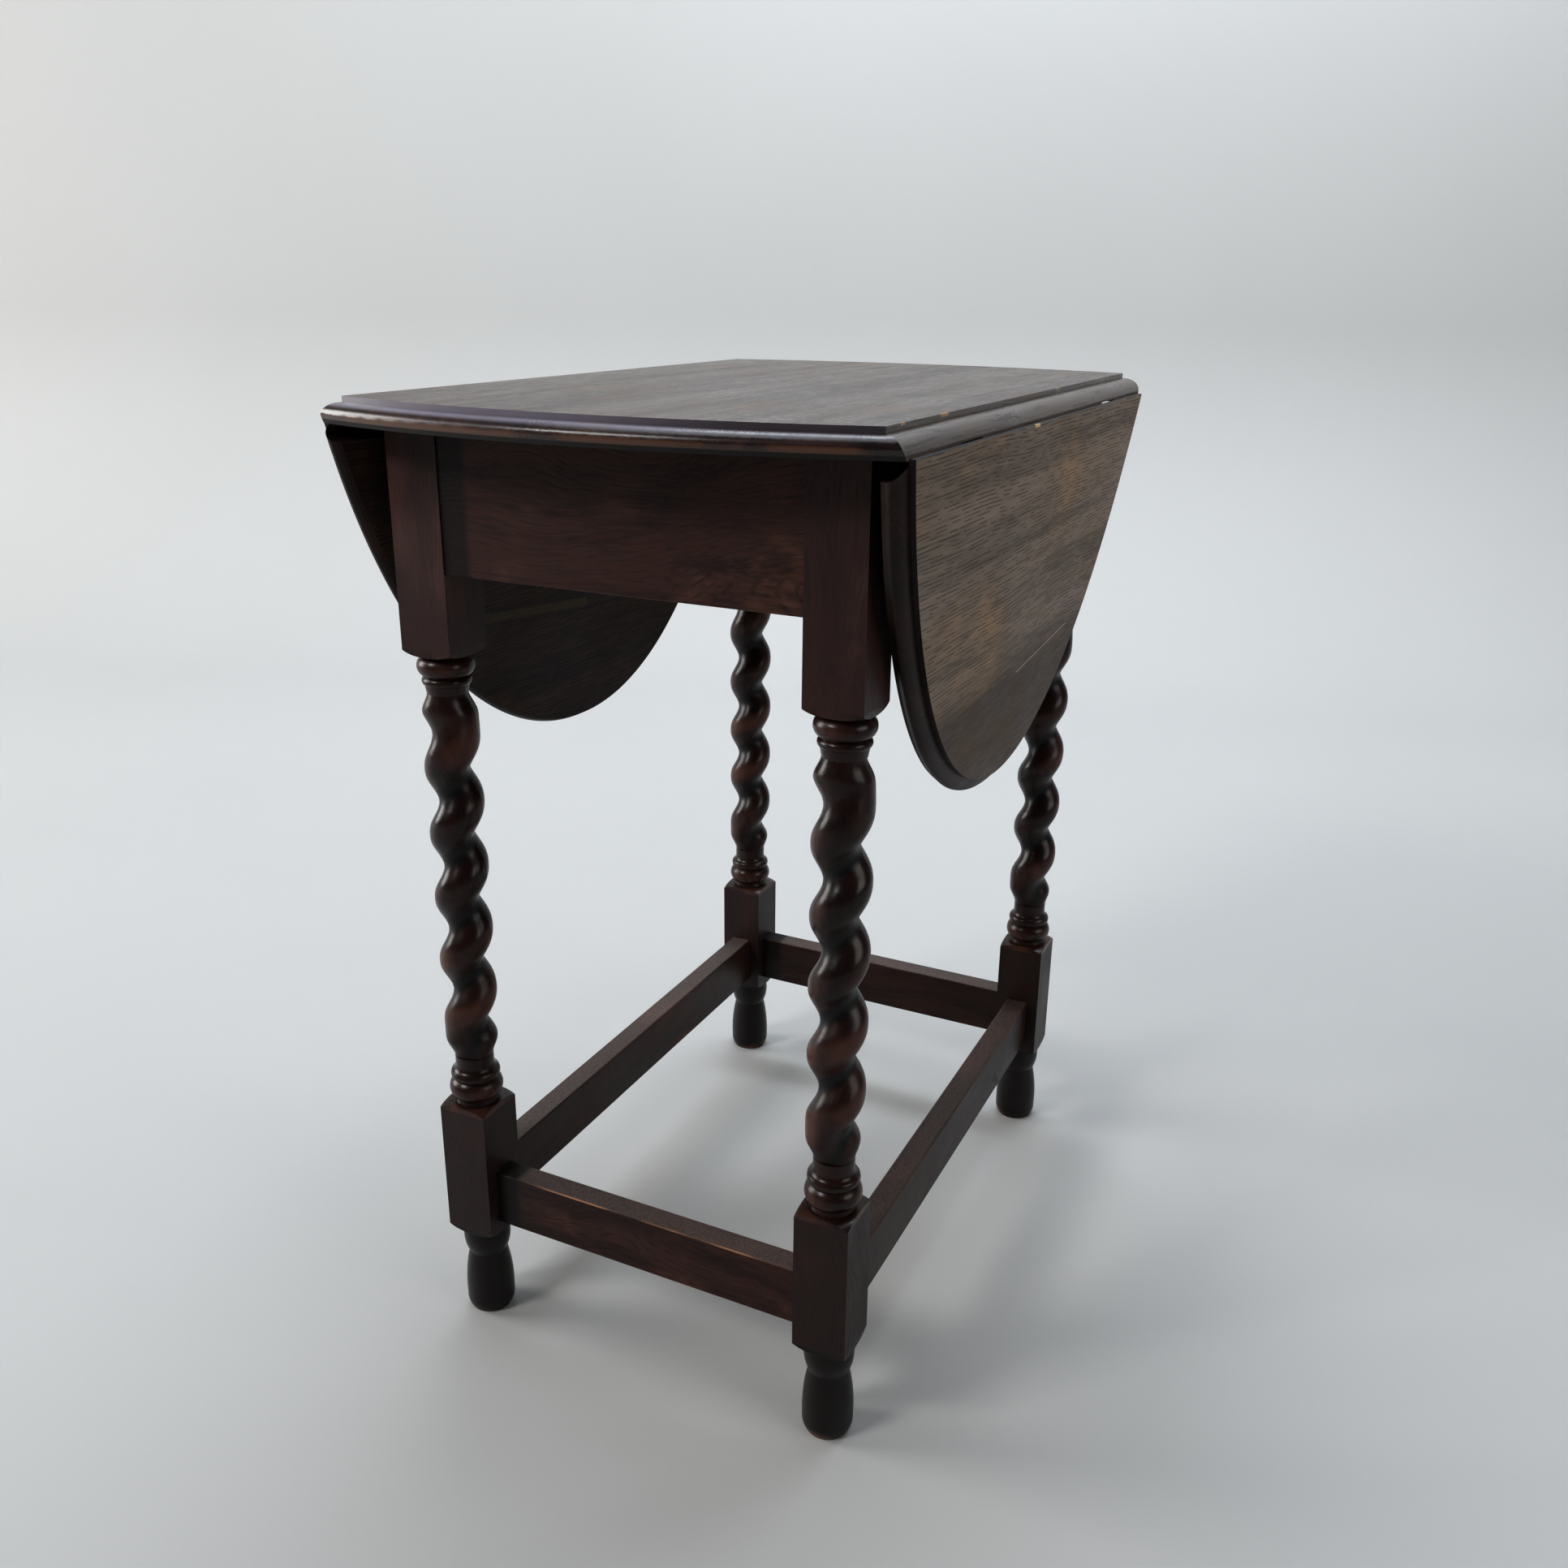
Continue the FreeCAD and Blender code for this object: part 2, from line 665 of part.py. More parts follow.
def leg_twist():
    """Return the twisted shaft: one broad ridge and one groove that wind up the leg together.

    The shaft swells from a neck at each end, and the groove runs out before it gets there. The side is one
    B-spline surface, closed round the leg, so it is set as a shape from the sheet's own sizes.
    """
    low = value("twist_low") - 1
    high = value("twist_high") + 1
    pitch = value("twist_pitch")
    ridge = value("ridge_radius")
    valley = value("valley_radius")
    neck = value("neck_radius") - NECK_TUCK
    swell = value("twist_swell")
    groove_low = low + value("groove_start_low")
    fade_low = value("groove_fade_low")
    fade_high = value("groove_fade_high")
    level = value("twist_level")
    bearing = math.radians(value("twist_bearing"))
    spans = max(int((high - low) / pitch * TWIST_SPANS_PER_TURN), 8)
    knots = [low + (high - low) * row / spans for row in range(spans + 1)]
    ladder = [low] * TWIST_DEGREE + knots + [high] * TWIST_DEGREE
    levels = [sum(ladder[row + 1:row + 1 + TWIST_DEGREE]) / TWIST_DEGREE for row in range(spans + TWIST_DEGREE)]
    shrink = (2 + math.cos(2 * math.pi / TWIST_POLES_ROUND)) / 3
    poles = []
    for step in range(TWIST_POLES_ROUND):
        angle = 2 * math.pi * step / TWIST_POLES_ROUND
        column = []
        for z in levels:
            turns = (z - level) / pitch - (angle - bearing) / (2 * math.pi)
            off = math.floor(turns) + 0.5 - turns
            groove = z + off * pitch
            depth = smooth((groove - groove_low) / fade_low) * smooth((high - groove) / fade_high)
            hollow = ((1 + math.cos(2 * math.pi * off)) / 2) ** RIDGE_BREADTH
            stock = neck + (ridge - neck) * smooth((z - low) / swell) * smooth((high - z) / swell)
            radius = (stock - (ridge - valley) * hollow * depth) / shrink
            column.append(FreeCAD.Vector(radius * math.cos(angle), radius * math.sin(angle), z))
        poles.append(column)
    round_knots = [float(step) for step in range(TWIST_POLES_ROUND + 1)]
    ends = [TWIST_DEGREE + 1]
    surface = Part.BSplineSurface()
    surface.buildFromPolesMultsKnots(poles, [1] * (TWIST_POLES_ROUND + 1), ends + [1] * (spans - 1) + ends,
                                     round_knots, knots, True, False, TWIST_DEGREE, TWIST_DEGREE)
    side = surface.toShape()
    if side.normalAt(0, low).x < 0:
        side.reverse()
    faces = [side]
    for level_of_end, direction in ((low, -1), (high, 1)):
        edge = next(item for item in side.Edges if abs(item.CenterOfMass.z - level_of_end) < 0.01)
        faces.append(facing(Part.Face(Part.Wire([edge])), FreeCAD.Vector(0, 0, direction)))
    thing = doc.addObject("Part::Feature", "leg_twist")
    thing.Shape = Part.Solid(Part.Shell(faces))
    return thing


def tenon_hole(label, reach, across, level, toward):
    """Return a mortise in a leg's own frame.

    reach is the leg face it enters from, as (axis, sign). across is the tenon's middle on the other axis. level
    is (low, height).
    """
    axis, sign = reach
    low, height = level
    depth = "tenon_long + tenon_gap"
    start = "-leg_half - 1" if sign < 0 else "leg_half - tenon_long - tenon_gap"
    side = across + " - tenon_thick / 2"
    if axis == "x":
        return box(label, (start, side, low), (depth + " + 1", "tenon_thick", height))
    return box(label, (side, start, low), ("tenon_thick", depth + " + 1", height))


def make_legs():
    """Return the four legs."""
    blank = join("leg_blank", [leg_head(), leg_twist(), leg_foot()])
    low_tenon = ("stretcher_low + tenon_shoulder", "stretcher_depth - 2 * tenon_shoulder")
    high_tenon = ("underside - apron_depth + tenon_shoulder", "apron_depth - 2 * tenon_shoulder")
    legs = []
    for end, y in (("front", -1), ("back", 1)):
        for side, x in (("right", 1), ("left", -1)):
            name = "leg_%s_%s" % (end, side)
            apron_mid = "%d * (apron_y + apron_thick / 2 - leg_y)" % y
            rail_mid = "%d * (rail_back + rail_thick / 2 - leg_x)" % x
            holes = [
                tenon_hole(name + "_low_x", ("x", -x), "0", low_tenon, y),
                tenon_hole(name + "_low_y", ("y", -y), "0", low_tenon, x),
                tenon_hole(name + "_high_x", ("x", -x), apron_mid, high_tenon, y),
                tenon_hole(name + "_high_y", ("y", -y), rail_mid, high_tenon, x),
            ]
            leg = cut(name, blank, holes)
            place(leg, x="%d * leg_x" % x, y="%d * leg_y" % y)
            legs.append(leg)
    return legs


# ---------------------------------------------------------------- frame

def make_frame():
    """Return the end aprons, side rails, stretchers, glue blocks and their screws."""
    inner_x = "leg_x - leg_half"
    inner_y = "leg_y - leg_half"
    apron_low = "underside - apron_depth"
    tenon_high = "apron_depth - 2 * tenon_shoulder"
    apron = rail(
        "apron_back", ("-(%s)" % inner_x, "apron_y", apron_low), ("2 * (%s)" % inner_x, "apron_thick", "apron_depth"),
        (1, 0, 0), "arris",
        [(("-(%s) - tenon_long" % inner_x, "apron_y + (apron_thick - tenon_thick) / 2", apron_low + " + tenon_shoulder"),
          ("2 * (%s + tenon_long)" % inner_x, "tenon_thick", tenon_high))])
    side = rail(
        "side_rail_right", ("rail_back", "-(%s)" % inner_y, apron_low), ("rail_thick", "2 * (%s)" % inner_y, "apron_depth"),
        (0, 1, 0), "arris",
        [(("rail_back + (rail_thick - tenon_thick) / 2", "-(%s) - tenon_long" % inner_y, apron_low + " + tenon_shoulder"),
          ("tenon_thick", "2 * (%s + tenon_long)" % inner_y, tenon_high))])
    low = "stretcher_low + tenon_shoulder"
    high = "stretcher_depth - 2 * tenon_shoulder"
    end_bar = rail(
        "stretcher_back", ("-(%s)" % inner_x, "leg_y - stretcher_thick / 2", "stretcher_low"),
        ("2 * (%s)" % inner_x, "stretcher_thick", "stretcher_depth"), (1, 0, 0), "stretcher_arris",
        [(("-(%s) - tenon_long" % inner_x, "leg_y - tenon_thick / 2", low),
          ("2 * (%s + tenon_long)" % inner_x, "tenon_thick", high))])
    side_bar = rail(
        "stretcher_right", ("leg_x - stretcher_thick / 2", "-(%s)" % inner_y, "stretcher_low"),
        ("stretcher_thick", "2 * (%s)" % inner_y, "stretcher_depth"), (0, 1, 0), "stretcher_arris",
        [(("leg_x - tenon_thick / 2", "-(%s) - tenon_long" % inner_y, low),
          ("tenon_thick", "2 * (%s + tenon_long)" % inner_y, high))])
    nodes = [
        apron, mirrored("apron_front", apron, ALONG),
        end_bar, mirrored("stretcher_front", end_bar, ALONG),
        side_bar, mirrored("stretcher_left", side_bar, ACROSS),
    ]
    return nodes, side


def make_corner_blocks():
    """Return the four glue blocks and the group of screws that hold the top down."""
    low = "underside - corner_block_depth"
    nodes = []
    screws = []
    for end, sign_y in (("front", "-"), ("back", "")):
        for side, sign_x in (("right", ""), ("left", "-")):
            tag = "%s_%s" % (end, side)
            middle = (sign_x + "block_x", sign_y + "block_y")
            wood = box("block_wood_" + tag, (middle[0] + " - corner_block / 2", middle[1] + " - corner_block / 2", low),
                       ("corner_block", "corner_block", "corner_block_depth"))
            hole = rod("block_hole_" + tag, middle + (low + " - 1",), "block_screw_radius + screw_play",
                       "corner_block_depth + 2")
            sink = cone("block_sink_" + tag, middle + (low,), "block_screw_head + 2 * screw_play",
                        "block_screw_radius + 2 * screw_play", "block_screw_head - block_screw_radius")
            nodes.append(cut("corner_block_" + tag, wood, [hole, sink]))
            head = cone("block_head_" + tag, middle + (low + " + screw_play",), "block_screw_head",
                        "block_screw_radius", "block_screw_head - block_screw_radius")
            shank = rod("block_shank_" + tag, middle + (low + " + block_screw_head - block_screw_radius",),
                        "block_screw_radius",
                        "corner_block_depth - block_screw_head + block_screw_radius + block_screw_sink")
            screws.append(join("block_screw_" + tag, [head, shank]))
    nodes.append(gather("top_screws", screws))
    return nodes


def make_flies(side):
    """Return the fly brackets, their fixed blocks, pins and screws, and the drilled side rails."""
    finger = "fly_third - knuckle_gap"
    shoulder = "fly_knuckle + 1"
    middle_low = "fly_base + fly_third + knuckle_gap / 2"
    arm = box("fly_arm", ("fly_back", "fly_place + " + shoulder, "fly_base"),
              ("fly_thick", "fly_long - (%s)" % shoulder, "fly_depth"))
    neck = box("fly_finger", ("fly_back", "fly_place", middle_low), ("fly_thick", shoulder, finger))
    knuckle = rod("fly_knuckle", ("fly_axis", "fly_place", middle_low), "fly_knuckle", finger)
    bore = rod("fly_bore", ("fly_axis", "fly_place", "fly_base - 1"), "fly_pin_radius + pin_play", "fly_depth + 2")
    grip = rod("fly_grip", ("fly_back - 1", "fly_place + fly_long", "fly_base"), "11", "fly_thick + 2", "x")
    fly = cut("fly_right", join("fly_whole", [arm, neck, knuckle]), [bore, grip])
    block_end = "fly_place - fly_block_long"
    pieces = [box("fly_block_board", ("rail_face", block_end, "fly_base"),
                  ("fly_face - rail_face", "fly_block_long - (%s)" % shoulder, "fly_depth"))]
    for mark, low in (("low", "fly_base"), ("high", "fly_base + 2 * fly_third + knuckle_gap / 2")):
        tall = "fly_third - knuckle_gap / 2"
        pieces.append(box("fly_block_finger_" + mark, ("fly_back", "fly_place - (%s)" % shoulder, low),
                          ("fly_thick", shoulder, tall)))
        pieces.append(rod("fly_block_knuckle_" + mark, ("fly_axis", "fly_place", low), "fly_knuckle", tall))
    spots = [("fly_place - 30", "fly_base + 13"), ("fly_place - 70", "fly_base + 13"),
             ("fly_place - 30", "fly_base + 33"), ("fly_place - 70", "fly_base + 33")]
    holes = [bore]
    rail_holes = []
    screws = []
    for number, (y, z) in enumerate(spots):
        holes.append(rod("fly_hole_%d" % number, ("rail_face - 1", y, z), "block_screw_radius + screw_play",
                         "fly_face - rail_face + 2", "x"))
        holes.append(cone("fly_sink_%d" % number, ("fly_face", y, z), "block_screw_head + 2 * screw_play",
                          "block_screw_radius + 2 * screw_play", "block_screw_head - block_screw_radius", "-x"))
        rail_holes.append(rod("rail_hole_%d" % number, ("rail_face - block_screw_sink - 1", y, z),
                              "block_screw_radius + screw_play", "block_screw_sink + 2", "x"))
        head = cone("fly_head_%d" % number, ("fly_face - screw_play", y, z), "block_screw_head",
                    "block_screw_radius", "block_screw_head - block_screw_radius", "-x")
        shank = rod("fly_shank_%d" % number, ("rail_face - block_screw_sink", y, z), "block_screw_radius",
                    "block_screw_sink + fly_face - rail_face - block_screw_head + block_screw_radius", "x")
        screws.append(join("fly_screw_%d" % number, [head, shank]))
    block = cut("fly_block_right", join("fly_block_whole", pieces), holes)
    pin = rod("fly_pin_right", ("fly_axis", "fly_place", "fly_base"), "fly_pin_radius", "fly_depth")
    drilled = cut("side_rail_right_drilled", side, rail_holes)
    nodes = []
    for right in (fly, block, pin):
        nodes += [right, mirrored(right.Label.replace("right", "left"), right, ACROSS)]
    right_screws = gather("fly_screws_right", screws)
    nodes.append(gather("fly_screws", [right_screws, mirrored("fly_screws_left", right_screws, ACROSS)]))
    side.Label = "side_rail_board"
    drilled.Label = "side_rail_right"
    nodes += [drilled, mirrored("side_rail_left", drilled, ACROSS)]
    return nodes


# ---------------------------------------------------------------- build

def check_document():
    """Stop if any object of the document failed."""
    for thing in doc.Objects:
        if "Invalid" in thing.State or "Error" in thing.State:
            raise RuntimeError("%s failed: %s" % (thing.Label, thing.State))


def write_parts(nodes):
    """Check each sub-part and write it to its own file."""
    for node in nodes:
        shape = node.Shape
        if shape.isNull() or not shape.isValid() or not shape.Solids:
            raise RuntimeError("%s has no valid solid" % node.Label)
    os.makedirs("parts", exist_ok=True)
    for node in nodes:
        node.Shape.exportStep("parts/%s.step" % node.Label)
        print("%-28s solids %2d  volume %10.1f mm3" % (node.Label, len(node.Shape.Solids), node.Shape.Volume))


fill_sheet()
whole_top = oval_top()
frame_nodes, side_rail = make_frame()
all_nodes = [make_top(whole_top)] + make_leaves(whole_top)
all_nodes += make_legs() + frame_nodes + make_flies(side_rail) + make_corner_blocks() + make_hinges()
doc.recompute()
check_document()
write_parts(all_nodes)
print("%d sub-parts" % len(all_nodes))
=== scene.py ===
"""Looks of an oval drop-leaf table in old dark-stained oak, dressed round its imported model.

Everything is in metres, in the model's own frame: +Z up, the front at -Y, and the leaves on the
+X and -X sides.
"""

import json
import logging
import math
from dataclasses import dataclass
from enum import Enum
from typing import ClassVar

import bmesh
import bpy
from mathutils import Matrix, Vector

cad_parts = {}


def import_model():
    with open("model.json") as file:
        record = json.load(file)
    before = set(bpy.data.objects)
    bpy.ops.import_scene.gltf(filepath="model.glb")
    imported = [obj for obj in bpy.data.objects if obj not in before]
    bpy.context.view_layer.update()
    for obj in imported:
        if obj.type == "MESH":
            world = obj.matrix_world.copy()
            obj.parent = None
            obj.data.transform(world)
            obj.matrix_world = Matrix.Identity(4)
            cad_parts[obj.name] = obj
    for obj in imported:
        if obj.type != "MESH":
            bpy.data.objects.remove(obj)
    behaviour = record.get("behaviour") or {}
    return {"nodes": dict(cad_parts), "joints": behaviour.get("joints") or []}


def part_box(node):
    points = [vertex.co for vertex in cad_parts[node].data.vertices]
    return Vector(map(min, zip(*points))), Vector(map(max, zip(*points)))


LOG = logging.getLogger("drop_leaf_table")
MM = 0.001

Colour = tuple[float, float, float]
Place = tuple[float, float, float]
Pair = tuple[float, float]
Ramp = tuple[float, float]
Socket = bpy.types.NodeSocket
Material = bpy.types.Material

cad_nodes: dict[str, bpy.types.Object] = {}


def grey(level: float) -> Colour:
    """Return the same level three times: a grey, or an even scale."""
    return (level, level, level)


class Grain(Enum):
    """The direction that a piece's wood fibres run in."""

    ACROSS = "X"
    ALONG = "Y"
    UPRIGHT = "Z"


class Way(Enum):
    """A way that looks out from the table's middle."""

    @property
    def word(self) -> str:
        """The way's name as the model's nodes have it."""
        return self.name.lower()


class Side(Way):
    """A side of the table, with the sign of its X."""

    RIGHT = 1
    LEFT = -1


class End(Way):
    """An end of the table, with the sign of its Y."""

    FRONT = -1
    BACK = 1


class Seed(Enum):
    """Where the boards of one sort start to number themselves, so that no two figures match."""

    CENTRE = 1.0
    LEAF = 3.0
    LEG = 10.0
    APRON = 20.0
    END_STRETCHER = 24.0
    SIDE_STRETCHER = 28.0
    BEHIND_LEAF = 32.0
    CORNER = 42.0


class Graph:
    """A material's node tree, with a short call for each node that the finishes share.

    Attributes:
        SEED_STEP: How far one unit of a board's number moves its figure, in metres.
    """

    SEED_STEP: Place = (1.7, 0.9, 1.3)

    def __init__(self, name: str) -> None:
        """Start an empty material.

        Args:
            name: The material's name.
        """
        self.material = bpy.data.materials.new(name)
        self.material.use_nodes = True
        self.tree = self.material.node_tree
        self.tree.nodes.clear()
        here = self.node("ShaderNodeTexCoord")
        self.place = here.outputs["Object"]
        self.facing = here.outputs["Normal"]
        self.along_x, self.along_y, self.height = self.parts(self.place)

    def node(self, kind: str, **settings: object) -> bpy.types.Node:
        """Add a node and set its options.

        Args:
            kind: The node's type name.
            settings: The node's own properties by name.

        Returns:
            The new node.
        """
        made = self.tree.nodes.new(kind)
        for key, setting in settings.items():
            setattr(made, key, setting)
        return made

    def feed(self, socket: Socket, source: object) -> None:
        """Link a socket to another, or set its value.

        Args:
            socket: The input socket.
            source: An output socket, a number, or a tuple of three numbers.
        """
        if isinstance(source, Socket):
            self.tree.links.new(source, socket)
        elif socket.type == "RGBA":
            socket.default_value = (*source, 1.0)
        else:
            socket.default_value = source

    def fill(self, made: bpy.types.Node, values: tuple[object, ...]) -> None:
        """Feed a node's inputs in order."""
        for socket, source in zip(made.inputs, values):
            self.feed(socket, source)

    def math(self, operation: str, *values: object, clamp: bool = False) -> Socket:
        """Return the result of a math node.

        Args:
            operation: The node's operation.
            values: Up to three numbers or sockets.
            clamp: Whether the result is kept from 0 to 1.

        Returns:
            The result.
        """
        made = self.node("ShaderNodeMath", operation=operation, use_clamp=clamp)
        self.fill(made, values)
        return made.outputs[0]

    def times(self, first: object, second: object) -> Socket:
        """Return the product of two numbers."""
        return self.math("MULTIPLY", first, second)

    def size(self, source: object) -> Socket:
        """Return a number without its sign."""
        return self.math("ABSOLUTE", source)

    def vector(self, operation: str, *values: object) -> Socket:
        """Return the result of a vector math node.

        Args:
            operation: The node's operation.
            values: Up to three vectors or sockets.

        Returns:
            A number for a dot product, a distance or a length, and a vector for anything else.
        """
        made = self.node("ShaderNodeVectorMath", operation=operation)
        self.fill(made, values)
        gives_number = operation in ("DOT_PRODUCT", "DISTANCE", "LENGTH")
        return made.outputs["Value" if gives_number else "Vector"]

    def between(self, source: object, low: float, high: float) -> Socket:
        """Return a smooth step of a value.

        Args:
            source: The value.
            low: Where the step is 0. It may be larger than high.
            high: Where the step is 1.

        Returns:
            The step, from 0 to 1.
        """
        made = self.node("ShaderNodeMapRange", interpolation_type="SMOOTHSTEP")
        for name, number in (("Value", source), ("From Min", low), ("From Max", high)):
            self.feed(made.inputs[name], number)
        return made.outputs["Result"]

    def scaled(self, source: object, low: float, high: float) -> Socket:
        """Stretch a value.

        Args:
            source: The value, from 0 to 1.
            low: The result where it is 0.
            high: The result where it is 1.

        Returns:
            The stretched value.
        """
        made = self.node("ShaderNodeMapRange")
        for name, number in (("Value", source), ("To Min", low), ("To Max", high)):
            self.feed(made.inputs[name], number)
        return made.outputs["Result"]

    def mixed(self, share: object, first: object, second: object) -> Socket:
        """Mix two colours.

        Args:
            share: How much of the second shows, from 0 to 1.
            first: The colour where the share is 0.
            second: The colour where the share is 1.

        Returns:
            The mixed colour.
        """
        made = self.node("ShaderNodeMix", data_type="RGBA")
        colours = [socket for socket in made.inputs if socket.type == "RGBA"]
        self.feed(made.inputs[0], share)
        self.feed(colours[0], first)
        self.feed(colours[1], second)
        return next(socket for socket in made.outputs if socket.type == "RGBA")

    def noise(self, place: object, detail: float = 3.0, rough: float = 0.55) -> Socket:
        """Make noise whose spots are one unit of place across.

        Args:
            place: The place that the noise is read at.
            detail: The number of finer layers.
            rough: The strength of each finer layer.

        Returns:
            The noise, from 0 to 1.
        """
        made = self.node("ShaderNodeTexNoise")
        self.feed(made.inputs["Vector"], place)
        for name, number in (("Scale", 1.0), ("Detail", detail), ("Roughness", rough)):
            self.feed(made.inputs[name], number)
        return made.outputs["Fac"]

    def spots(self, per_metre: Place, detail: float, rough: float = 0.55) -> Socket:
        """Return noise over the piece, with that many spots in a metre of X, Y and Z."""
        return self.noise(self.vector("MULTIPLY", self.place, per_metre), detail, rough)

    def parts(self, source: Socket) -> tuple[Socket, ...]:
        """Take a vector apart.

        Args:
            source: The vector.

        Returns:
            Its X, Y and Z.
        """
        apart = self.node("ShaderNodeSeparateXYZ")
        self.feed(apart.inputs[0], source)
        return tuple(apart.outputs)

    def turned(self, grain: Grain, seed: float) -> Socket:
        """Turn the place so that its first part runs along the grain, and move it aside.

        Args:
            grain: The direction of the fibres.
            seed: The board's own number.

        Returns:
            A vector in metres: along the grain, and the two ways across it.
        """
        x, y, z = self.along_x, self.along_y, self.height
        order = {Grain.ACROSS: (x, y, z), Grain.ALONG: (y, x, z), Grain.UPRIGHT: (z, x, y)}[grain]
        joined = self.node("ShaderNodeCombineXYZ")
        self.fill(joined, order)
        return self.vector("ADD", joined.outputs[0], tuple(seed * step for step in self.SEED_STEP))

    def finish(self, **inputs: object) -> Material:
        """Close the tree with one shader.

        Args:
            inputs: The shader's inputs, with an underscore for each space of their names.

        Returns:
            The material.
        """
        shader = self.node("ShaderNodeBsdfPrincipled")
        for name, source in inputs.items():
            self.feed(shader.inputs[name.replace("_", " ")], source)
        self.tree.links.new(shader.outputs[0], self.node("ShaderNodeOutputMaterial").inputs[0])
        return self.material


@dataclass(frozen=True)
class Stain:
    """The colours of one way that the old stain has aged.

    Attributes:
        deep: The darkest fibres.
        body: The wood between them.
        warm: Patches where the stain is thin.
        rough: The roughness, at its smoothest and at its driest.
        pore: How dark the open pores are, from 0 to 1.
    """

    deep: Colour
    body: Colour
    warm: Colour
    rough: Pair
    pore: float = 0.6


TOP_FACE = Stain((0.050, 0.037, 0.029), (0.115, 0.093, 0.077), (0.165, 0.115, 0.083), (0.42, 0.58), 0.75)
LEAF_FACE = Stain((0.105, 0.076, 0.055), (0.218, 0.166, 0.124), (0.300, 0.200, 0.118), (0.50, 0.66), 0.85)
OVOLO = Stain((0.050, 0.036, 0.030), (0.105, 0.082, 0.070), (0.140, 0.092, 0.066), (0.34, 0.48), 0.55)
MOULDED = Stain((0.012, 0.006, 0.005), (0.030, 0.013, 0.011), (0.055, 0.021, 0.012), (0.26, 0.34), 0.20)
LEAF_EDGE = Stain((0.008, 0.004, 0.003), (0.017, 0.008, 0.006), (0.030, 0.013, 0.009), (0.42, 0.52), 0.20)
SHADED_FACE = Stain((0.017, 0.008, 0.006), (0.044, 0.020, 0.013), (0.092, 0.048, 0.020), (0.56, 0.68), 0.85)
FRONT = Stain((0.020, 0.007, 0.006), (0.033, 0.012, 0.010), (0.064, 0.024, 0.018), (0.40, 0.52), 0.35)
APRON = Stain((0.014, 0.005, 0.004), (0.042, 0.016, 0.012), (0.105, 0.042, 0.028), (0.40, 0.54), 0.45)
TURNED = Stain((0.008, 0.003, 0.003), (0.018, 0.007, 0.005), (0.040, 0.015, 0.010), (0.25, 0.34), 0.0)
RAIL = Stain((0.012, 0.005, 0.004), (0.026, 0.011, 0.008), (0.056, 0.023, 0.015), (0.36, 0.48), 0.35)
UNPOLISHED = Stain((0.030, 0.019, 0.012), (0.075, 0.048, 0.030), (0.120, 0.078, 0.048), (0.60, 0.75), 0.75)
# Near black painted shade: below the top's nose, and the left legs' shadow on the rails.
PAINTED_SHADE: Colour = (0.005, 0.0025, 0.002)


@dataclass(frozen=True)
class Figure:
    """The size of an oak board's grain, in spots per metre along and across the fibres.

    Attributes:
        rings: The broad bands of growth.
        fibres: The fine lines.
        pores: The breaks between the open pores, which show as short dashes.
        uneven: The spots that set the rows of pores out of line.
        row: The distance from one row of pores to the next, in metres.
        waver: How far the grain strays, in metres.
        drift: The spots that the grain strays by, in each of the board's three directions.
        patches: The worn and dry patches, in the same way.
    """

    rings: Pair = (1.6, 45.0)
    fibres: Pair = (20.0, 620.0)
    pores: Pair = (52.0, 300.0)
    uneven: Pair = (5.0, 40.0)
    row: float = 2.9 * MM
    waver: float = 7 * MM
    drift: Place = (5.0, 9.0, 9.0)
    patches: Place = (9.0, 16.0, 16.0)


PLAIN = Figure()
FLAMED = Figure(rings=(5.0, 60.0), fibres=(30.0, 620.0), waver=60 * MM)


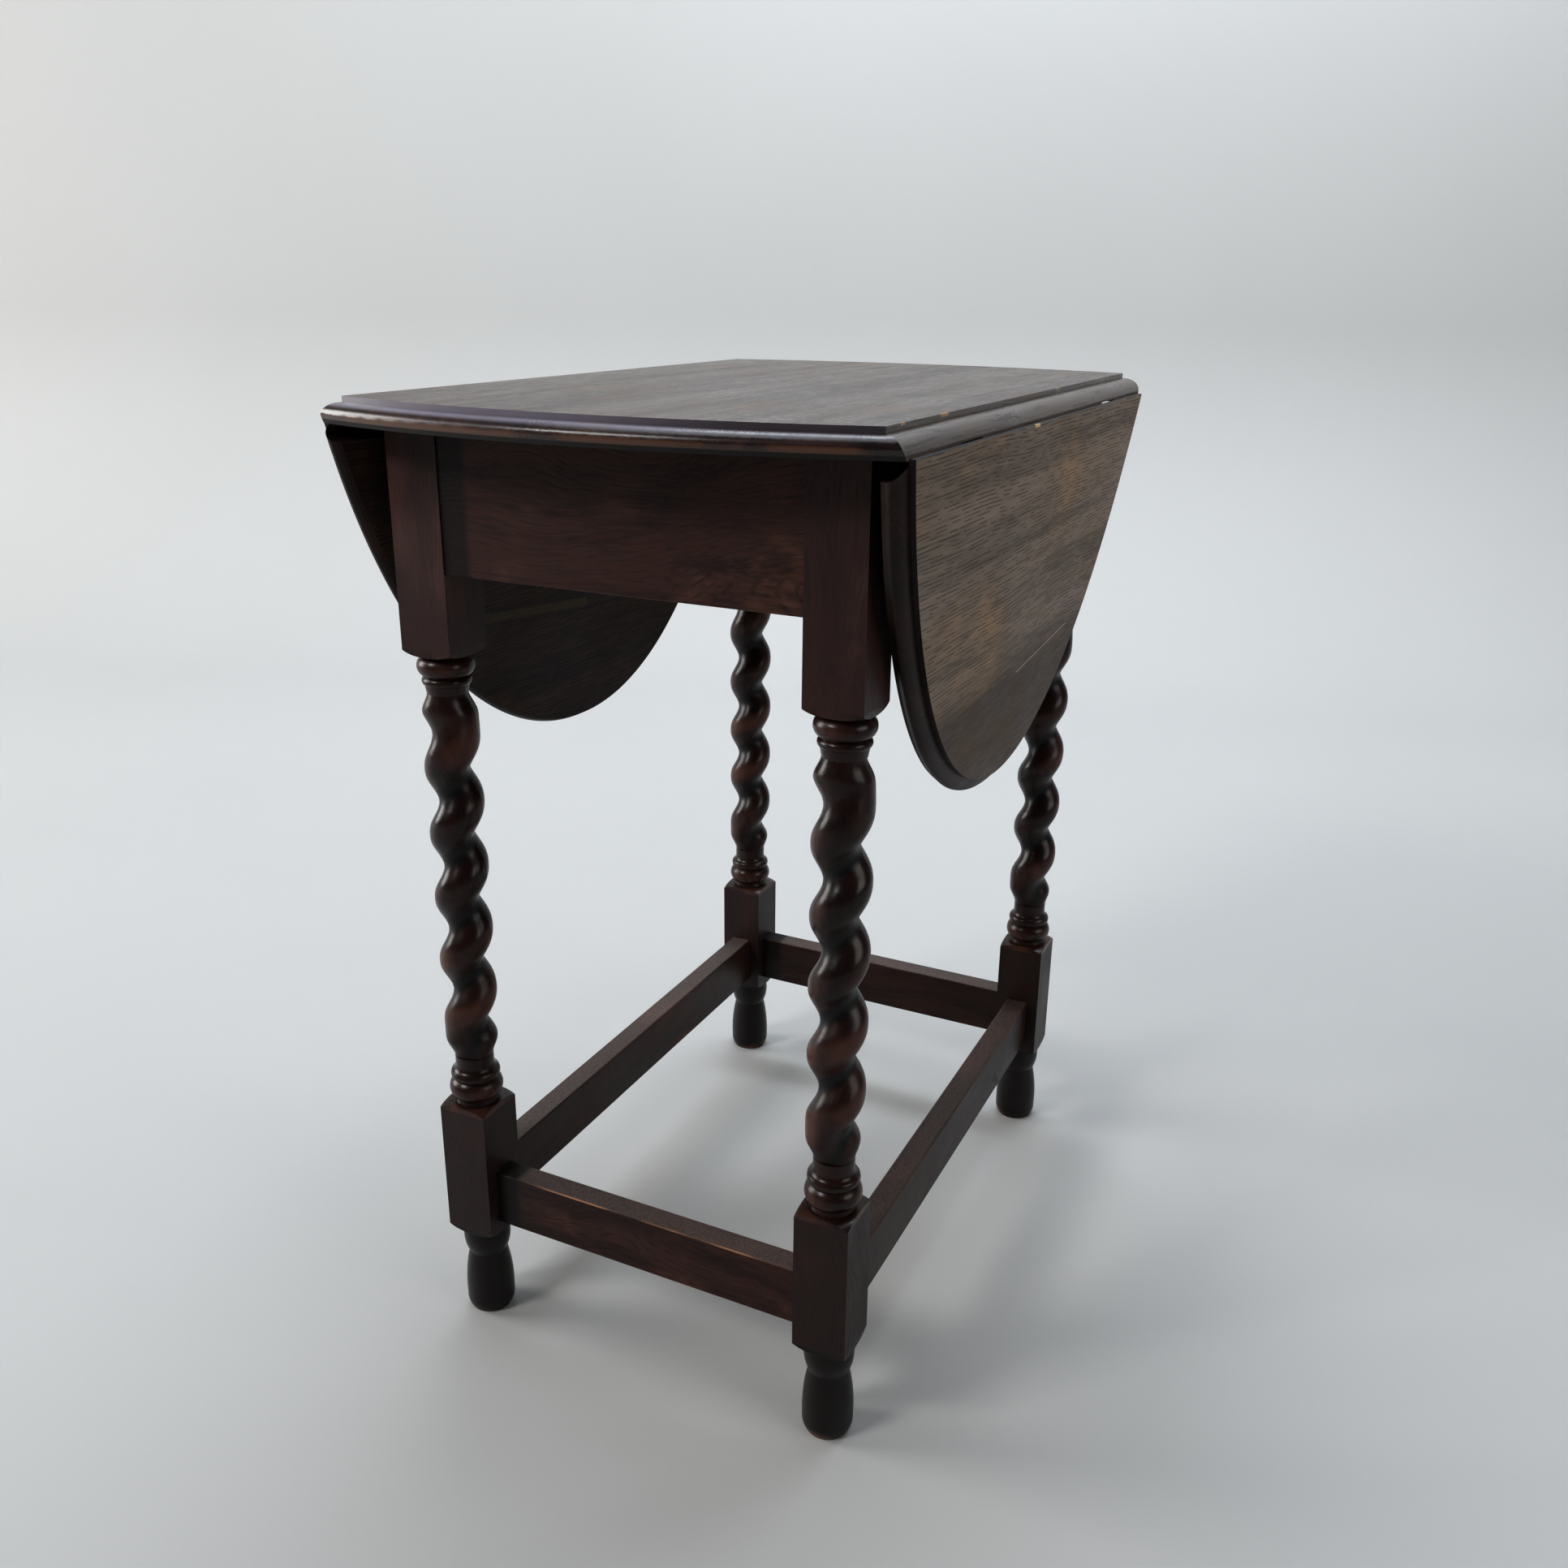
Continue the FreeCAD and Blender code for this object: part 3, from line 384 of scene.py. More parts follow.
class Oak:
    """Stained oak on one piece: colour, roughness and relief from the grain.

    Each ramp says where an effect starts and where it is complete.

    Attributes:
        OPEN_PORE: The noise at which a pore opens.
        POROUS_ROW: The wave's height on a row of pores.
        SIDE_GRAIN: The turn from end grain, which has no dashes, to side grain.
        BODY: The lines at which the body colour takes over from the deep one.
        THIN_PATCH: The patches at which the stain is thin.
        THIN_LINE: The lines that stay dark in a thin patch.
        DRY_PATCH: The patches at which the polish is dry.
        BEVEL: The surface's largest part along any axis, on the flats and on a bevel.
        RING_SHARE: How much the rings count in the lines, and the fibres the rest.
        ROW_DRIFT: How far the rows stray, in turns of their wave.
        PORE_SHADE: A pore's colour as a share of the deep one.
        FIBRE_RELIEF: The height of a fibre as a share of a pore's depth.
    """

    OPEN_PORE: Ramp = (0.45, 0.53)
    POROUS_ROW: Ramp = (0.45, 0.95)
    SIDE_GRAIN: Ramp = (0.5, 0.2)
    BODY: Ramp = (0.36, 0.62)
    THIN_PATCH: Ramp = (0.50, 0.74)
    THIN_LINE: Ramp = (0.30, 0.60)
    DRY_PATCH: Ramp = (0.35, 0.70)
    BEVEL: Ramp = (0.96, 0.88)
    RING_SHARE: float = 0.6
    ROW_DRIFT: float = 1.6
    PORE_SHADE: float = 0.35
    FIBRE_RELIEF: float = 0.35

    def __init__(self, name: str, grain: Grain, seed: float, figure: Figure = PLAIN) -> None:
        """Lay out the grain.

        Args:
            name: The material's name.
            grain: The direction of the fibres.
            seed: The board's own number.
            figure: The size of the grain.
        """
        self.graph = Graph(name)
        self.figure = figure
        graph = self.graph
        board = graph.turned(grain, seed)
        drift = graph.noise(graph.vector("MULTIPLY", board, figure.drift), 1.0)
        stray = graph.times(graph.math("SUBTRACT", drift, 0.5), figure.waver)
        shift = graph.node("ShaderNodeCombineXYZ")
        graph.feed(shift.inputs[1], stray)
        graph.feed(shift.inputs[2], stray)
        self.board = graph.vector("ADD", board, shift.outputs[0])
        self.rings = self.streaks(figure.rings, 3.0)
        self.fibres = self.streaks(figure.fibres, 3.0)
        breaks = graph.between(self.streaks(figure.pores, 1.0), *self.OPEN_PORE)
        dashes = graph.times(self.rows(), breaks)
        along = graph.parts(graph.facing)["XYZ".index(grain.value)]
        on_side = graph.between(graph.size(along), *self.SIDE_GRAIN)
        self.pores = graph.times(dashes, on_side)
        self.patches = graph.noise(graph.vector("MULTIPLY", board, figure.patches), 4.0, 0.62)

    def streaks(self, pitch: Pair, detail: float) -> Socket:
        """Make noise drawn out along the grain.

        Args:
            pitch: The number of spots in a metre along the grain, and across it.
            detail: The number of finer layers.

        Returns:
            The noise, from 0 to 1.
        """
        along, across = pitch
        return self.graph.noise(self.graph.vector("MULTIPLY", self.board, (along, across, across)), detail)

    def rows(self) -> Socket:
        """Lay out the rows that the pores lie in.

        Returns:
            1 on the rows and 0 between them.
        """
        graph = self.graph
        across = graph.vector("DOT_PRODUCT", self.board, (0.0, 1.0, 1.0))
        uneven = graph.times(self.streaks(self.figure.uneven, 1.0), math.tau * self.ROW_DRIFT)
        phase = graph.math("MULTIPLY_ADD", across, math.tau / self.figure.row, uneven)
        return graph.between(graph.math("SINE", phase), *self.POROUS_ROW)

    def coloured(self, stain: Stain) -> Socket:
        """Colour the board.

        Args:
            stain: The stain's colours.

        Returns:
            The colour, with the lines, thin patches and open pores in it.
        """
        graph = self.graph
        rings = graph.times(self.rings, self.RING_SHARE)
        lines = graph.math("ADD", rings, graph.times(self.fibres, 1 - self.RING_SHARE))
        wood = graph.mixed(graph.between(lines, *self.BODY), stain.deep, stain.body)
        thin = graph.times(self.patchy(self.THIN_PATCH), graph.between(lines, *self.THIN_LINE))
        worn = graph.mixed(thin, wood, stain.warm)
        dark = tuple(part * self.PORE_SHADE for part in stain.deep)
        return graph.mixed(graph.times(self.pores, stain.pore), worn, dark)

    def patchy(self, ramp: Ramp) -> Socket:
        """Return 1 in the board's patches and 0 outside them, with the ramp as their edge."""
        return self.graph.between(self.patches, *ramp)

    def roughness(self, stain: Stain) -> Socket:
        """Return the board's roughness in one stain."""
        dry = self.graph.math("MAXIMUM", self.patchy(self.DRY_PATCH), self.pores)
        return self.graph.scaled(dry, *stain.rough)

    def relief(self, depth: float) -> Socket:
        """Cut fibres and open pores into the surface.

        Args:
            depth: The depth of a pore, in metres.

        Returns:
            The surface's normal.
        """
        graph = self.graph
        fibres = graph.times(self.fibres, self.FIBRE_RELIEF)
        bump = graph.node("ShaderNodeBump")
        graph.feed(bump.inputs["Distance"], depth)
        graph.feed(bump.inputs["Height"], graph.math("SUBTRACT", fibres, self.pores))
        return bump.outputs["Normal"]

    def chamfer(self) -> Socket:
        """Find a square's bevelled edges.

        Returns:
            1 where the surface looks along no axis, and 0 on the flats.
        """
        graph = self.graph
        x, y, z = (graph.size(part) for part in graph.parts(graph.facing))
        most = graph.math("MAXIMUM", graph.math("MAXIMUM", x, y), z)
        return graph.between(most, *self.BEVEL)


@dataclass(frozen=True)
class Mark:
    """A scratch, a chip, a streak or a crack: a short line in space with a colour of its own.

    Attributes:
        start: One end of the line, in metres.
        end: The other end.
        width: The half width of the mark.
        colour: The wood that it shows.
        strength: How strongly it shows, from 0 to 1.
        RAGGED: The spots in a metre that make its edge uneven.
    """

    start: Place
    end: Place
    width: float
    colour: Colour
    strength: float = 1.0
    RAGGED: ClassVar[float] = 700.0

    def laid(self, graph: Graph, under: object) -> Socket:
        """Return the colour with this mark drawn over it.

        Args:
            graph: The material's tree.
            under: The colour below the mark.

        Returns:
            The new colour.
        """
        run = Vector(self.end) - Vector(self.start)
        away = graph.vector("SUBTRACT", graph.place, self.start)
        along = graph.vector("DOT_PRODUCT", away, tuple(run))
        share = graph.math("DIVIDE", along, run.length_squared, clamp=True)
        nearest = graph.node("ShaderNodeVectorMath", operation="SCALE")
        graph.feed(nearest.inputs[0], tuple(run))
        graph.feed(nearest.inputs["Scale"], share)
        gap = graph.vector("DISTANCE", away, nearest.outputs["Vector"])
        reach = graph.times(graph.spots(grey(self.RAGGED), 2.0), self.width * 2)
        inside = graph.math("LESS_THAN", gap, reach)
        return graph.mixed(graph.times(inside, self.strength), under, self.colour)


def dress(node: str, material: Material) -> None:
    """Give a node of the model its material, in every slot that it has.

    Args:
        node: The node's name.
        material: The material.
    """
    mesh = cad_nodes[node].data
    if not mesh.materials:
        mesh.materials.append(material)
    for index in range(len(mesh.materials)):
        mesh.materials[index] = material
    LOG.info("dressed %s in %s", node, material.name)


@dataclass
class OvalTop:
    """The oval top: a fixed centre board and two leaves on rule joints.

    Attributes:
        worn_oak: The wood that shows where the centre board's nose is rubbed.
        bloom: A bluish sheen painted into the step below the face: a painted reflection.
        scratched: The wood in the fine scratches of the faces.
        foot_stain: The darker colour towards the foot of a hanging leaf's show face.
        dark_foot: The heights between which that darker colour comes in, from the upper to the lower.
        foot_share: The strength of that darkening.
        foot_uneven: How far its upper line strays.
        skin: The depths between which the show face's finish gives way to the edge's.
        outward: How squarely a surface looks out, where the show face starts and is complete.
        inward: The same for the back.
        step: The depth of the step between the face and the nose.
        step_soft: How far the painted reflection fades out below the step.
        bloomed: The X at which the painted reflection is thinnest, and at which it is thickest.
        bloom_share: Its strength at the two.
        nose: The depth of the nose, from its top to its foot.
        nose_soft: How softly the wear on the nose, and the dull wood below it, come in.
        dirt_soft: How softly the painted shade below it comes in.
        nose_patch: The patches in which the nose is rubbed.
        nose_share: The strength of that wear.
        ovolo: How far in from the board's side the ovolo's finish starts, and is complete.
        endward: How far a surface looks to an end, without that finish and with all of it.
        pore_depth: The depth of the open pores.
        underside: The roughness below the nose.
        shine: The specular level of the centre board, and of the leaves.
        scratches: The turn of each set of scratches about X, in degrees, and its own number.
        scratch_pitch: The spots in a metre that the scratches are drawn from.
        scratch_line: The noise at which a scratch shows.
        scratch_patch: The noise at which a patch is scratched.
        scratch_spots: The scratched patches in a metre.
        scratch_share: The strength of the scratches on the centre board, and on the leaves.
        marks: Chips, scratches and cracks that stand out.
    """

    worn_oak: Colour = (0.105, 0.038, 0.016)
    # Painted reflection: a bluish sheen painted into the step below the face.
    bloom: Colour = (0.190, 0.172, 0.215)
    scratched: Colour = (0.30, 0.265, 0.23)
    # Darker towards the bottom of a hanging leaf's show face.
    foot_stain: Colour = (0.044, 0.031, 0.023)
    dark_foot: Ramp = (0.585, 0.525)
    foot_share: float = 0.75
    foot_uneven: float = 60 * MM
    skin: Ramp = (1.2 * MM, 0.5 * MM)
    outward: Ramp = (0.55, 0.9)
    inward: Ramp = (-0.6, -0.9)
    step: float = 4.4 * MM
    step_soft: float = 2.5 * MM
    # Where along X the painted reflection is weakest and strongest.
    bloomed: Ramp = (0.13, -0.02)
    bloom_share: Pair = (0.25, 0.85)
    nose: Pair = (9.8 * MM, 13.6 * MM)
    nose_soft: float = 1 * MM
    # Painted shade below the nose.
    dirt_soft: float = 0.7 * MM
    nose_patch: Ramp = (0.36, 0.56)
    nose_share: float = 0.85
    ovolo: Ramp = (17 * MM, 16 * MM)
    endward: Ramp = (0.25, 0.1)
    pore_depth: float = 0.08 * MM
    underside: float = 0.8
    shine: Pair = (0.45, 0.18)
    scratches: tuple[Pair, ...] = ((25, 3.0), (-38, 7.0), (78, 11.0))
    scratch_pitch: Place = (300.0, 7.0, 900.0)
    scratch_line: Ramp = (0.745, 0.775)
    scratch_patch: Ramp = (0.47, 0.60)
    scratch_spots: float = 11.0
    scratch_share: Pair = (0.6, 0.2)
    marks: tuple[Mark, ...] = (
        Mark((0.184, -0.183, 0.7096), (0.184, -0.172, 0.7096), 1.2 * MM, (0.46, 0.26, 0.12)),
        Mark((0.184, -0.246, 0.7096), (0.184, -0.241, 0.7096), 1.0 * MM, (0.40, 0.21, 0.10)),
        Mark((0.184, 0.060, 0.7098), (0.184, 0.068, 0.7098), 0.9 * MM, (0.40, 0.24, 0.13)),
        Mark((0.2010, -0.047, 0.6930), (0.2014, -0.038, 0.6934), 1.3 * MM, (0.66, 0.48, 0.24)),
        Mark((0.1853, 0.002, 0.5129), (0.1862, 0.132, 0.5230), 0.35 * MM, (0.62, 0.58, 0.52), 0.6),
        Mark((0.1900, -0.140, 0.5650), (0.1905, -0.105, 0.5700), 0.35 * MM, (0.50, 0.42, 0.34), 0.4),
        Mark((-0.1872, -0.135, 0.5390), (-0.1875, 0.000, 0.5270), 3.5 * MM, (0.085, 0.062, 0.026), 0.55),
        Mark((-0.1875, -0.040, 0.5230), (-0.1876, 0.100, 0.5180), 0.7 * MM, (0.004, 0.003, 0.003), 0.9),
    )

    def build(self, joints: list[dict]) -> None:
        """Dress the three boards.

        Args:
            joints: The model's joints, whose ranges give the leaves' lean.
        """
        dress("top_centre", self.board("top_centre", Vector((0, 0, 1)), Seed.CENTRE.value))
        for side in Side:
            node = "leaf_" + side.word
            joint = next(joint for joint in joints if joint["child"] == node)
            lean = math.radians(joint["range_deg"][1] - 90)
            outward = Vector((side.value * math.cos(lean), 0, -math.sin(lean)))
            dress(node, self.board(node, outward, Seed.LEAF.value + side.value))

    def board(self, node: str, outward: Vector, seed: float) -> Material:
        """Finish one board: a dry face, a satin moulded edge and a duller back.

        Args:
            node: The board's node.
            outward: The way that its show face looks.
            seed: The board's own number.

        Returns:
            The material.
        """
        oak = Oak(node + "_oak", Grain.ALONG, seed)
        graph = oak.graph
        centre = node == "top_centre"
        level = max(corner.co.dot(outward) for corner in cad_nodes[node].data.vertices)
        reached = graph.vector("DOT_PRODUCT", graph.place, tuple(outward))
        depth = graph.math("SUBTRACT", level, reached)
        facing = graph.vector("DOT_PRODUCT", graph.facing, tuple(outward))
        on_face = graph.times(graph.between(depth, *self.skin), graph.between(facing, *self.outward))
        on_back = graph.between(facing, *self.inward)
        face, edge = (TOP_FACE, MOULDED) if centre else (LEAF_FACE, LEAF_EDGE)
        edge_colour = self.moulding(oak, depth) if centre else oak.coloured(edge)
        colour = graph.mixed(on_back, edge_colour, oak.coloured(SHADED_FACE))
        order = 0 if centre else 1
        shown = self.scuffed(oak, face, self.scratch_share[order])
        if not centre:
            shown = self.darkened_foot(oak, shown)
        colour = graph.mixed(on_face, colour, shown)
        for mark in self.marks:
            colour = mark.laid(graph, colour)
        foot = self.nose[1]
        low_down = graph.between(depth, foot, foot + self.nose_soft)
        rough = graph.mixed(low_down, oak.roughness(edge), grey(self.underside))
        rough = graph.mixed(on_back, rough, oak.roughness(SHADED_FACE))
        rough = graph.mixed(on_face, rough, oak.roughness(face))
        return graph.finish(Base_Color=colour, Roughness=rough, Normal=oak.relief(self.pore_depth),
                            Specular_IOR_Level=self.shine[order])

    def darkened_foot(self, oak: Oak, shown: Socket) -> Socket:
        """Darken the foot of a hanging leaf's show face.

        Args:
            oak: The leaf's grain.
            shown: The face's colour.

        Returns:
            The colour with the darker colour over it, down from an uneven line.
        """
        graph = oak.graph
        uneven = graph.math("ADD", graph.height, graph.times(oak.patches, self.foot_uneven))
        low_down = graph.scaled(graph.between(uneven, *self.dark_foot), 0.0, self.foot_share)
        return graph.mixed(low_down, shown, self.foot_stain)

    def moulding(self, oak: Oak, depth: Socket) -> Socket:
        """Colour the centre board's edges.

        Args:
            oak: The board's grain.
            depth: The distance below its face.

        Returns:
            Polish with a painted reflection (a bluish sheen) in the step, wear on the nose and
            painted shade below it, and a drier ovolo on the long sides.
        """
        graph = oak.graph
        first, last = self.nose
        # Painted reflection in the step: a bluish sheen, strongest towards the left end.
        in_step = graph.between(depth, self.step + self.step_soft, self.step)
        leftward = graph.scaled(graph.between(graph.along_x, *self.bloomed), *self.bloom_share)
        colour = graph.mixed(graph.times(in_step, leftward), oak.coloured(MOULDED), self.bloom)
        past_step = graph.between(depth, first, first + self.nose_soft)
        on_nose = graph.times(past_step, oak.patchy(self.nose_patch))
        colour = graph.mixed(graph.scaled(on_nose, 0.0, self.nose_share), colour, self.worn_oak)
        # Painted shade: near black where the moulding turns under below the nose.
        colour = graph.mixed(graph.between(depth, last, last + self.dirt_soft), colour, PAINTED_SHADE)
        lengthwise = graph.size(graph.parts(graph.facing)[1])
        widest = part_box("top_centre")[1].x
        start, full = (widest - inward for inward in self.ovolo)
        outer = graph.between(graph.size(graph.along_x), start, full)
        long_side = graph.times(outer, graph.between(lengthwise, *self.endward))
        return graph.mixed(long_side, colour, oak.coloured(OVOLO))

    def scuffed(self, oak: Oak, stain: Stain, share: float) -> Socket:
        """Colour a dry face, with fine pale scratches across it.

        Args:
            oak: The board's grain.
            stain: The face's stain.
            share: The strength of the scratches.

        Returns:
            The face's colour.
        """
        graph = oak.graph
        colour = oak.coloured(stain)
        for turn, seed in self.scratches:
            spun = graph.node("ShaderNodeVectorRotate", rotation_type="X_AXIS")
            graph.feed(spun.inputs["Vector"], graph.vector("ADD", graph.place, grey(seed)))
            graph.feed(spun.inputs["Angle"], math.radians(turn))
            lines = graph.vector("MULTIPLY", spun.outputs[0], self.scratch_pitch)
            drawn = graph.between(graph.noise(lines, 0.0), *self.scratch_line)
            spots = self.scratch_spots
            here = graph.spots((spots + seed, spots, spots), 1.0)
            cut = graph.times(drawn, graph.between(here, *self.scratch_patch))
            colour = graph.mixed(graph.times(cut, share), colour, self.scratched)
        return colour


@dataclass
class TwistLegs:
    """The four barley-twist legs, each turned from one square.

    Attributes:
        ridge: The twist's radius over its ridges.
        valley: Its radius in the grooves.
        ridge_soft: How far the rubbing reaches down from a ridge.
        groove: The height above the valley where the near black of old polish and painted shade starts, and
            where it is thick.
        foot_square: The lowest and highest part of the lower square.
        head_square: The lowest part of the upper square.
        square_soft: How softly the squares' finish comes in.
        sole_soft: How softly the feet's finish comes in.
        low_reach: How far the darker polish fades out above the lower square.
        scuffed_foot: The height to which the floor has rubbed the feet.
        rubbed_oak: The wood that shows on the ridges.
        edge_oak: The wood that shows on the squares' edges.
        foot_oak: The wood that shows where the floor has rubbed the feet.
        foot_polish: The near black polish of the feet, the lower squares and their shoulders.
        dirt: The old polish in the grooves, with painted shade that darkens them to near black.
        rubbed_patch: The patches in which the ridges are rubbed.
        edge_patch: The patches in which the squares' edges are rubbed.
        foot_patch: The patches in which the feet are rubbed.
        shoulder: How far a surface leans where the square ends, at the start and in full.
        low_polish: The strength of that polish at the lower square, and on the shoulders.
        pore_depth: The depth of the open pores.
        groove_rough: The roughness in the grooves.
        foot_rough: The roughness of the feet.
        shine: The specular level.
    """

    ridge: float = 19.9 * MM
    valley: float = 11.3 * MM
    ridge_soft: float = 2.5 * MM
    groove: Ramp = (2.4 * MM, 0.6 * MM)
    foot_square: Pair = (80.4 * MM, 185.8 * MM)
    head_square: float = 543.7 * MM
    square_soft: float = 1.5 * MM
    sole_soft: float = 1 * MM
    low_reach: float = 10 * MM
    scuffed_foot: float = 9 * MM
    rubbed_oak: Colour = (0.070, 0.026, 0.016)
    edge_oak: Colour = (0.110, 0.050, 0.032)
    foot_oak: Colour = (0.120, 0.048, 0.022)
    foot_polish: Colour = (0.006, 0.0035, 0.003)
    # Old polish and painted shade: near black in the grooves.
    dirt: Colour = (0.0025, 0.002, 0.002)
    rubbed_patch: Ramp = (0.42, 0.66)
    edge_patch: Ramp = (0.40, 0.60)
    foot_patch: Ramp = (0.45, 0.55)
    shoulder: Ramp = (0.15, 0.35)
    low_polish: Pair = (0.55, 0.85)
    pore_depth: float = 0.010 * MM
    groove_rough: float = 0.40
    foot_rough: float = 0.36
    shine: float = 0.24

    def build(self) -> None:
        """Dress each leg."""
        for end in End:
            for side in Side:
                node = f"leg_{end.word}_{side.word}"
                dress(node, self.leg(node, Seed.LEG.value + 3 * end.value + side.value))

    def squares(self, graph: Graph) -> Socket:
        """Tell the squares from what is turned.

        Args:
            graph: The leg's tree.

        Returns:
            1 on the two squares and 0 between and below them.
        """
        soft = self.square_soft
        height = graph.height
        low, high = self.foot_square
        above = graph.between(height, low, low + soft)
        foot = graph.times(above, graph.between(height, high, high - soft))
        head = graph.between(height, self.head_square, self.head_square + soft)
        return graph.math("ADD", foot, head, clamp=True)

    def leg(self, node: str, seed: float) -> Material:
        """Finish a leg: satin squares, and polished turnings with black grooves.

        Args:
            node: The leg's node.
            seed: The leg's own number.

        Returns:
            The material.
        """
        low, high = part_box(node)
        middle = (low + high) / 2
        oak = Oak(node + "_oak", Grain.UPRIGHT, seed, FLAMED)
        graph = oak.graph
        away = graph.vector("SUBTRACT", graph.place, (middle.x, middle.y, 0.0))
        radius = graph.vector("LENGTH", graph.vector("MULTIPLY", away, (1.0, 1.0, 0.0)))
        start, full = (self.valley + above for above in self.groove)
        groove = graph.between(radius, start, full)
        on_square = self.squares(graph)
        sole = self.foot_square[0]
        on_foot = graph.between(graph.height, sole + self.sole_soft, sole)
        colour = graph.mixed(on_square, self.turning(oak, radius, groove), self.square(oak))
        colour = graph.mixed(on_foot, colour, self.foot_polish)
        near_floor = graph.between(graph.height, self.scuffed_foot, 0.0)
        scuffed = graph.times(near_floor, oak.patchy(self.foot_patch))
        colour = graph.mixed(scuffed, colour, self.foot_oak)
        rough = graph.mixed(groove, oak.roughness(TURNED), grey(self.groove_rough))
        rough = graph.mixed(on_square, rough, oak.roughness(FRONT))
        rough = graph.mixed(on_foot, rough, grey(self.foot_rough))
        return graph.finish(Base_Color=colour, Roughness=rough, Normal=oak.relief(self.pore_depth),
                            Specular_IOR_Level=self.shine)

    def turning(self, oak: Oak, radius: Socket, groove: Socket) -> Socket:
        """Colour what is turned: polish, rubbed through on the ridges, and black in the grooves from old
        polish and painted shade.

        Args:
            oak: The leg's grain.
            radius: The distance from the leg's axis.
            groove: The share of a groove, from 0 to 1.

        Returns:
            The colour.
        """
        graph = oak.graph
        plain = oak.coloured(TURNED)
        rubbed = graph.mixed(oak.patchy(self.rubbed_patch), plain, self.rubbed_oak)
        on_ridge = graph.between(radius, self.ridge - self.ridge_soft, self.ridge)
        # Grooves go near black: old polish with painted shade.
        return graph.mixed(groove, graph.mixed(on_ridge, plain, rubbed), self.dirt)

    def square(self, oak: Oak) -> Socket:
        """Colour a leg's squares: rubbed edges, and darker shoulders and lower ends.

        Args:
            oak: The leg's grain.

        Returns:
            The colour.
        """
        graph = oak.graph
        edge = graph.times(oak.chamfer(), oak.patchy(self.edge_patch))
        colour = graph.mixed(edge, oak.coloured(FRONT), self.edge_oak)
        top = self.foot_square[1]
        low_share, sloped_share = self.low_polish
        near_foot = graph.between(graph.height, top + self.low_reach, top)
        low_down = graph.scaled(near_foot, 0.0, low_share)
        colour = graph.mixed(low_down, colour, self.foot_polish)
        leaning = graph.size(graph.parts(graph.facing)[2])
        sloped = graph.scaled(graph.between(leaning, *self.shoulder), 0.0, sloped_share)
        return graph.mixed(sloped, colour, self.foot_polish)


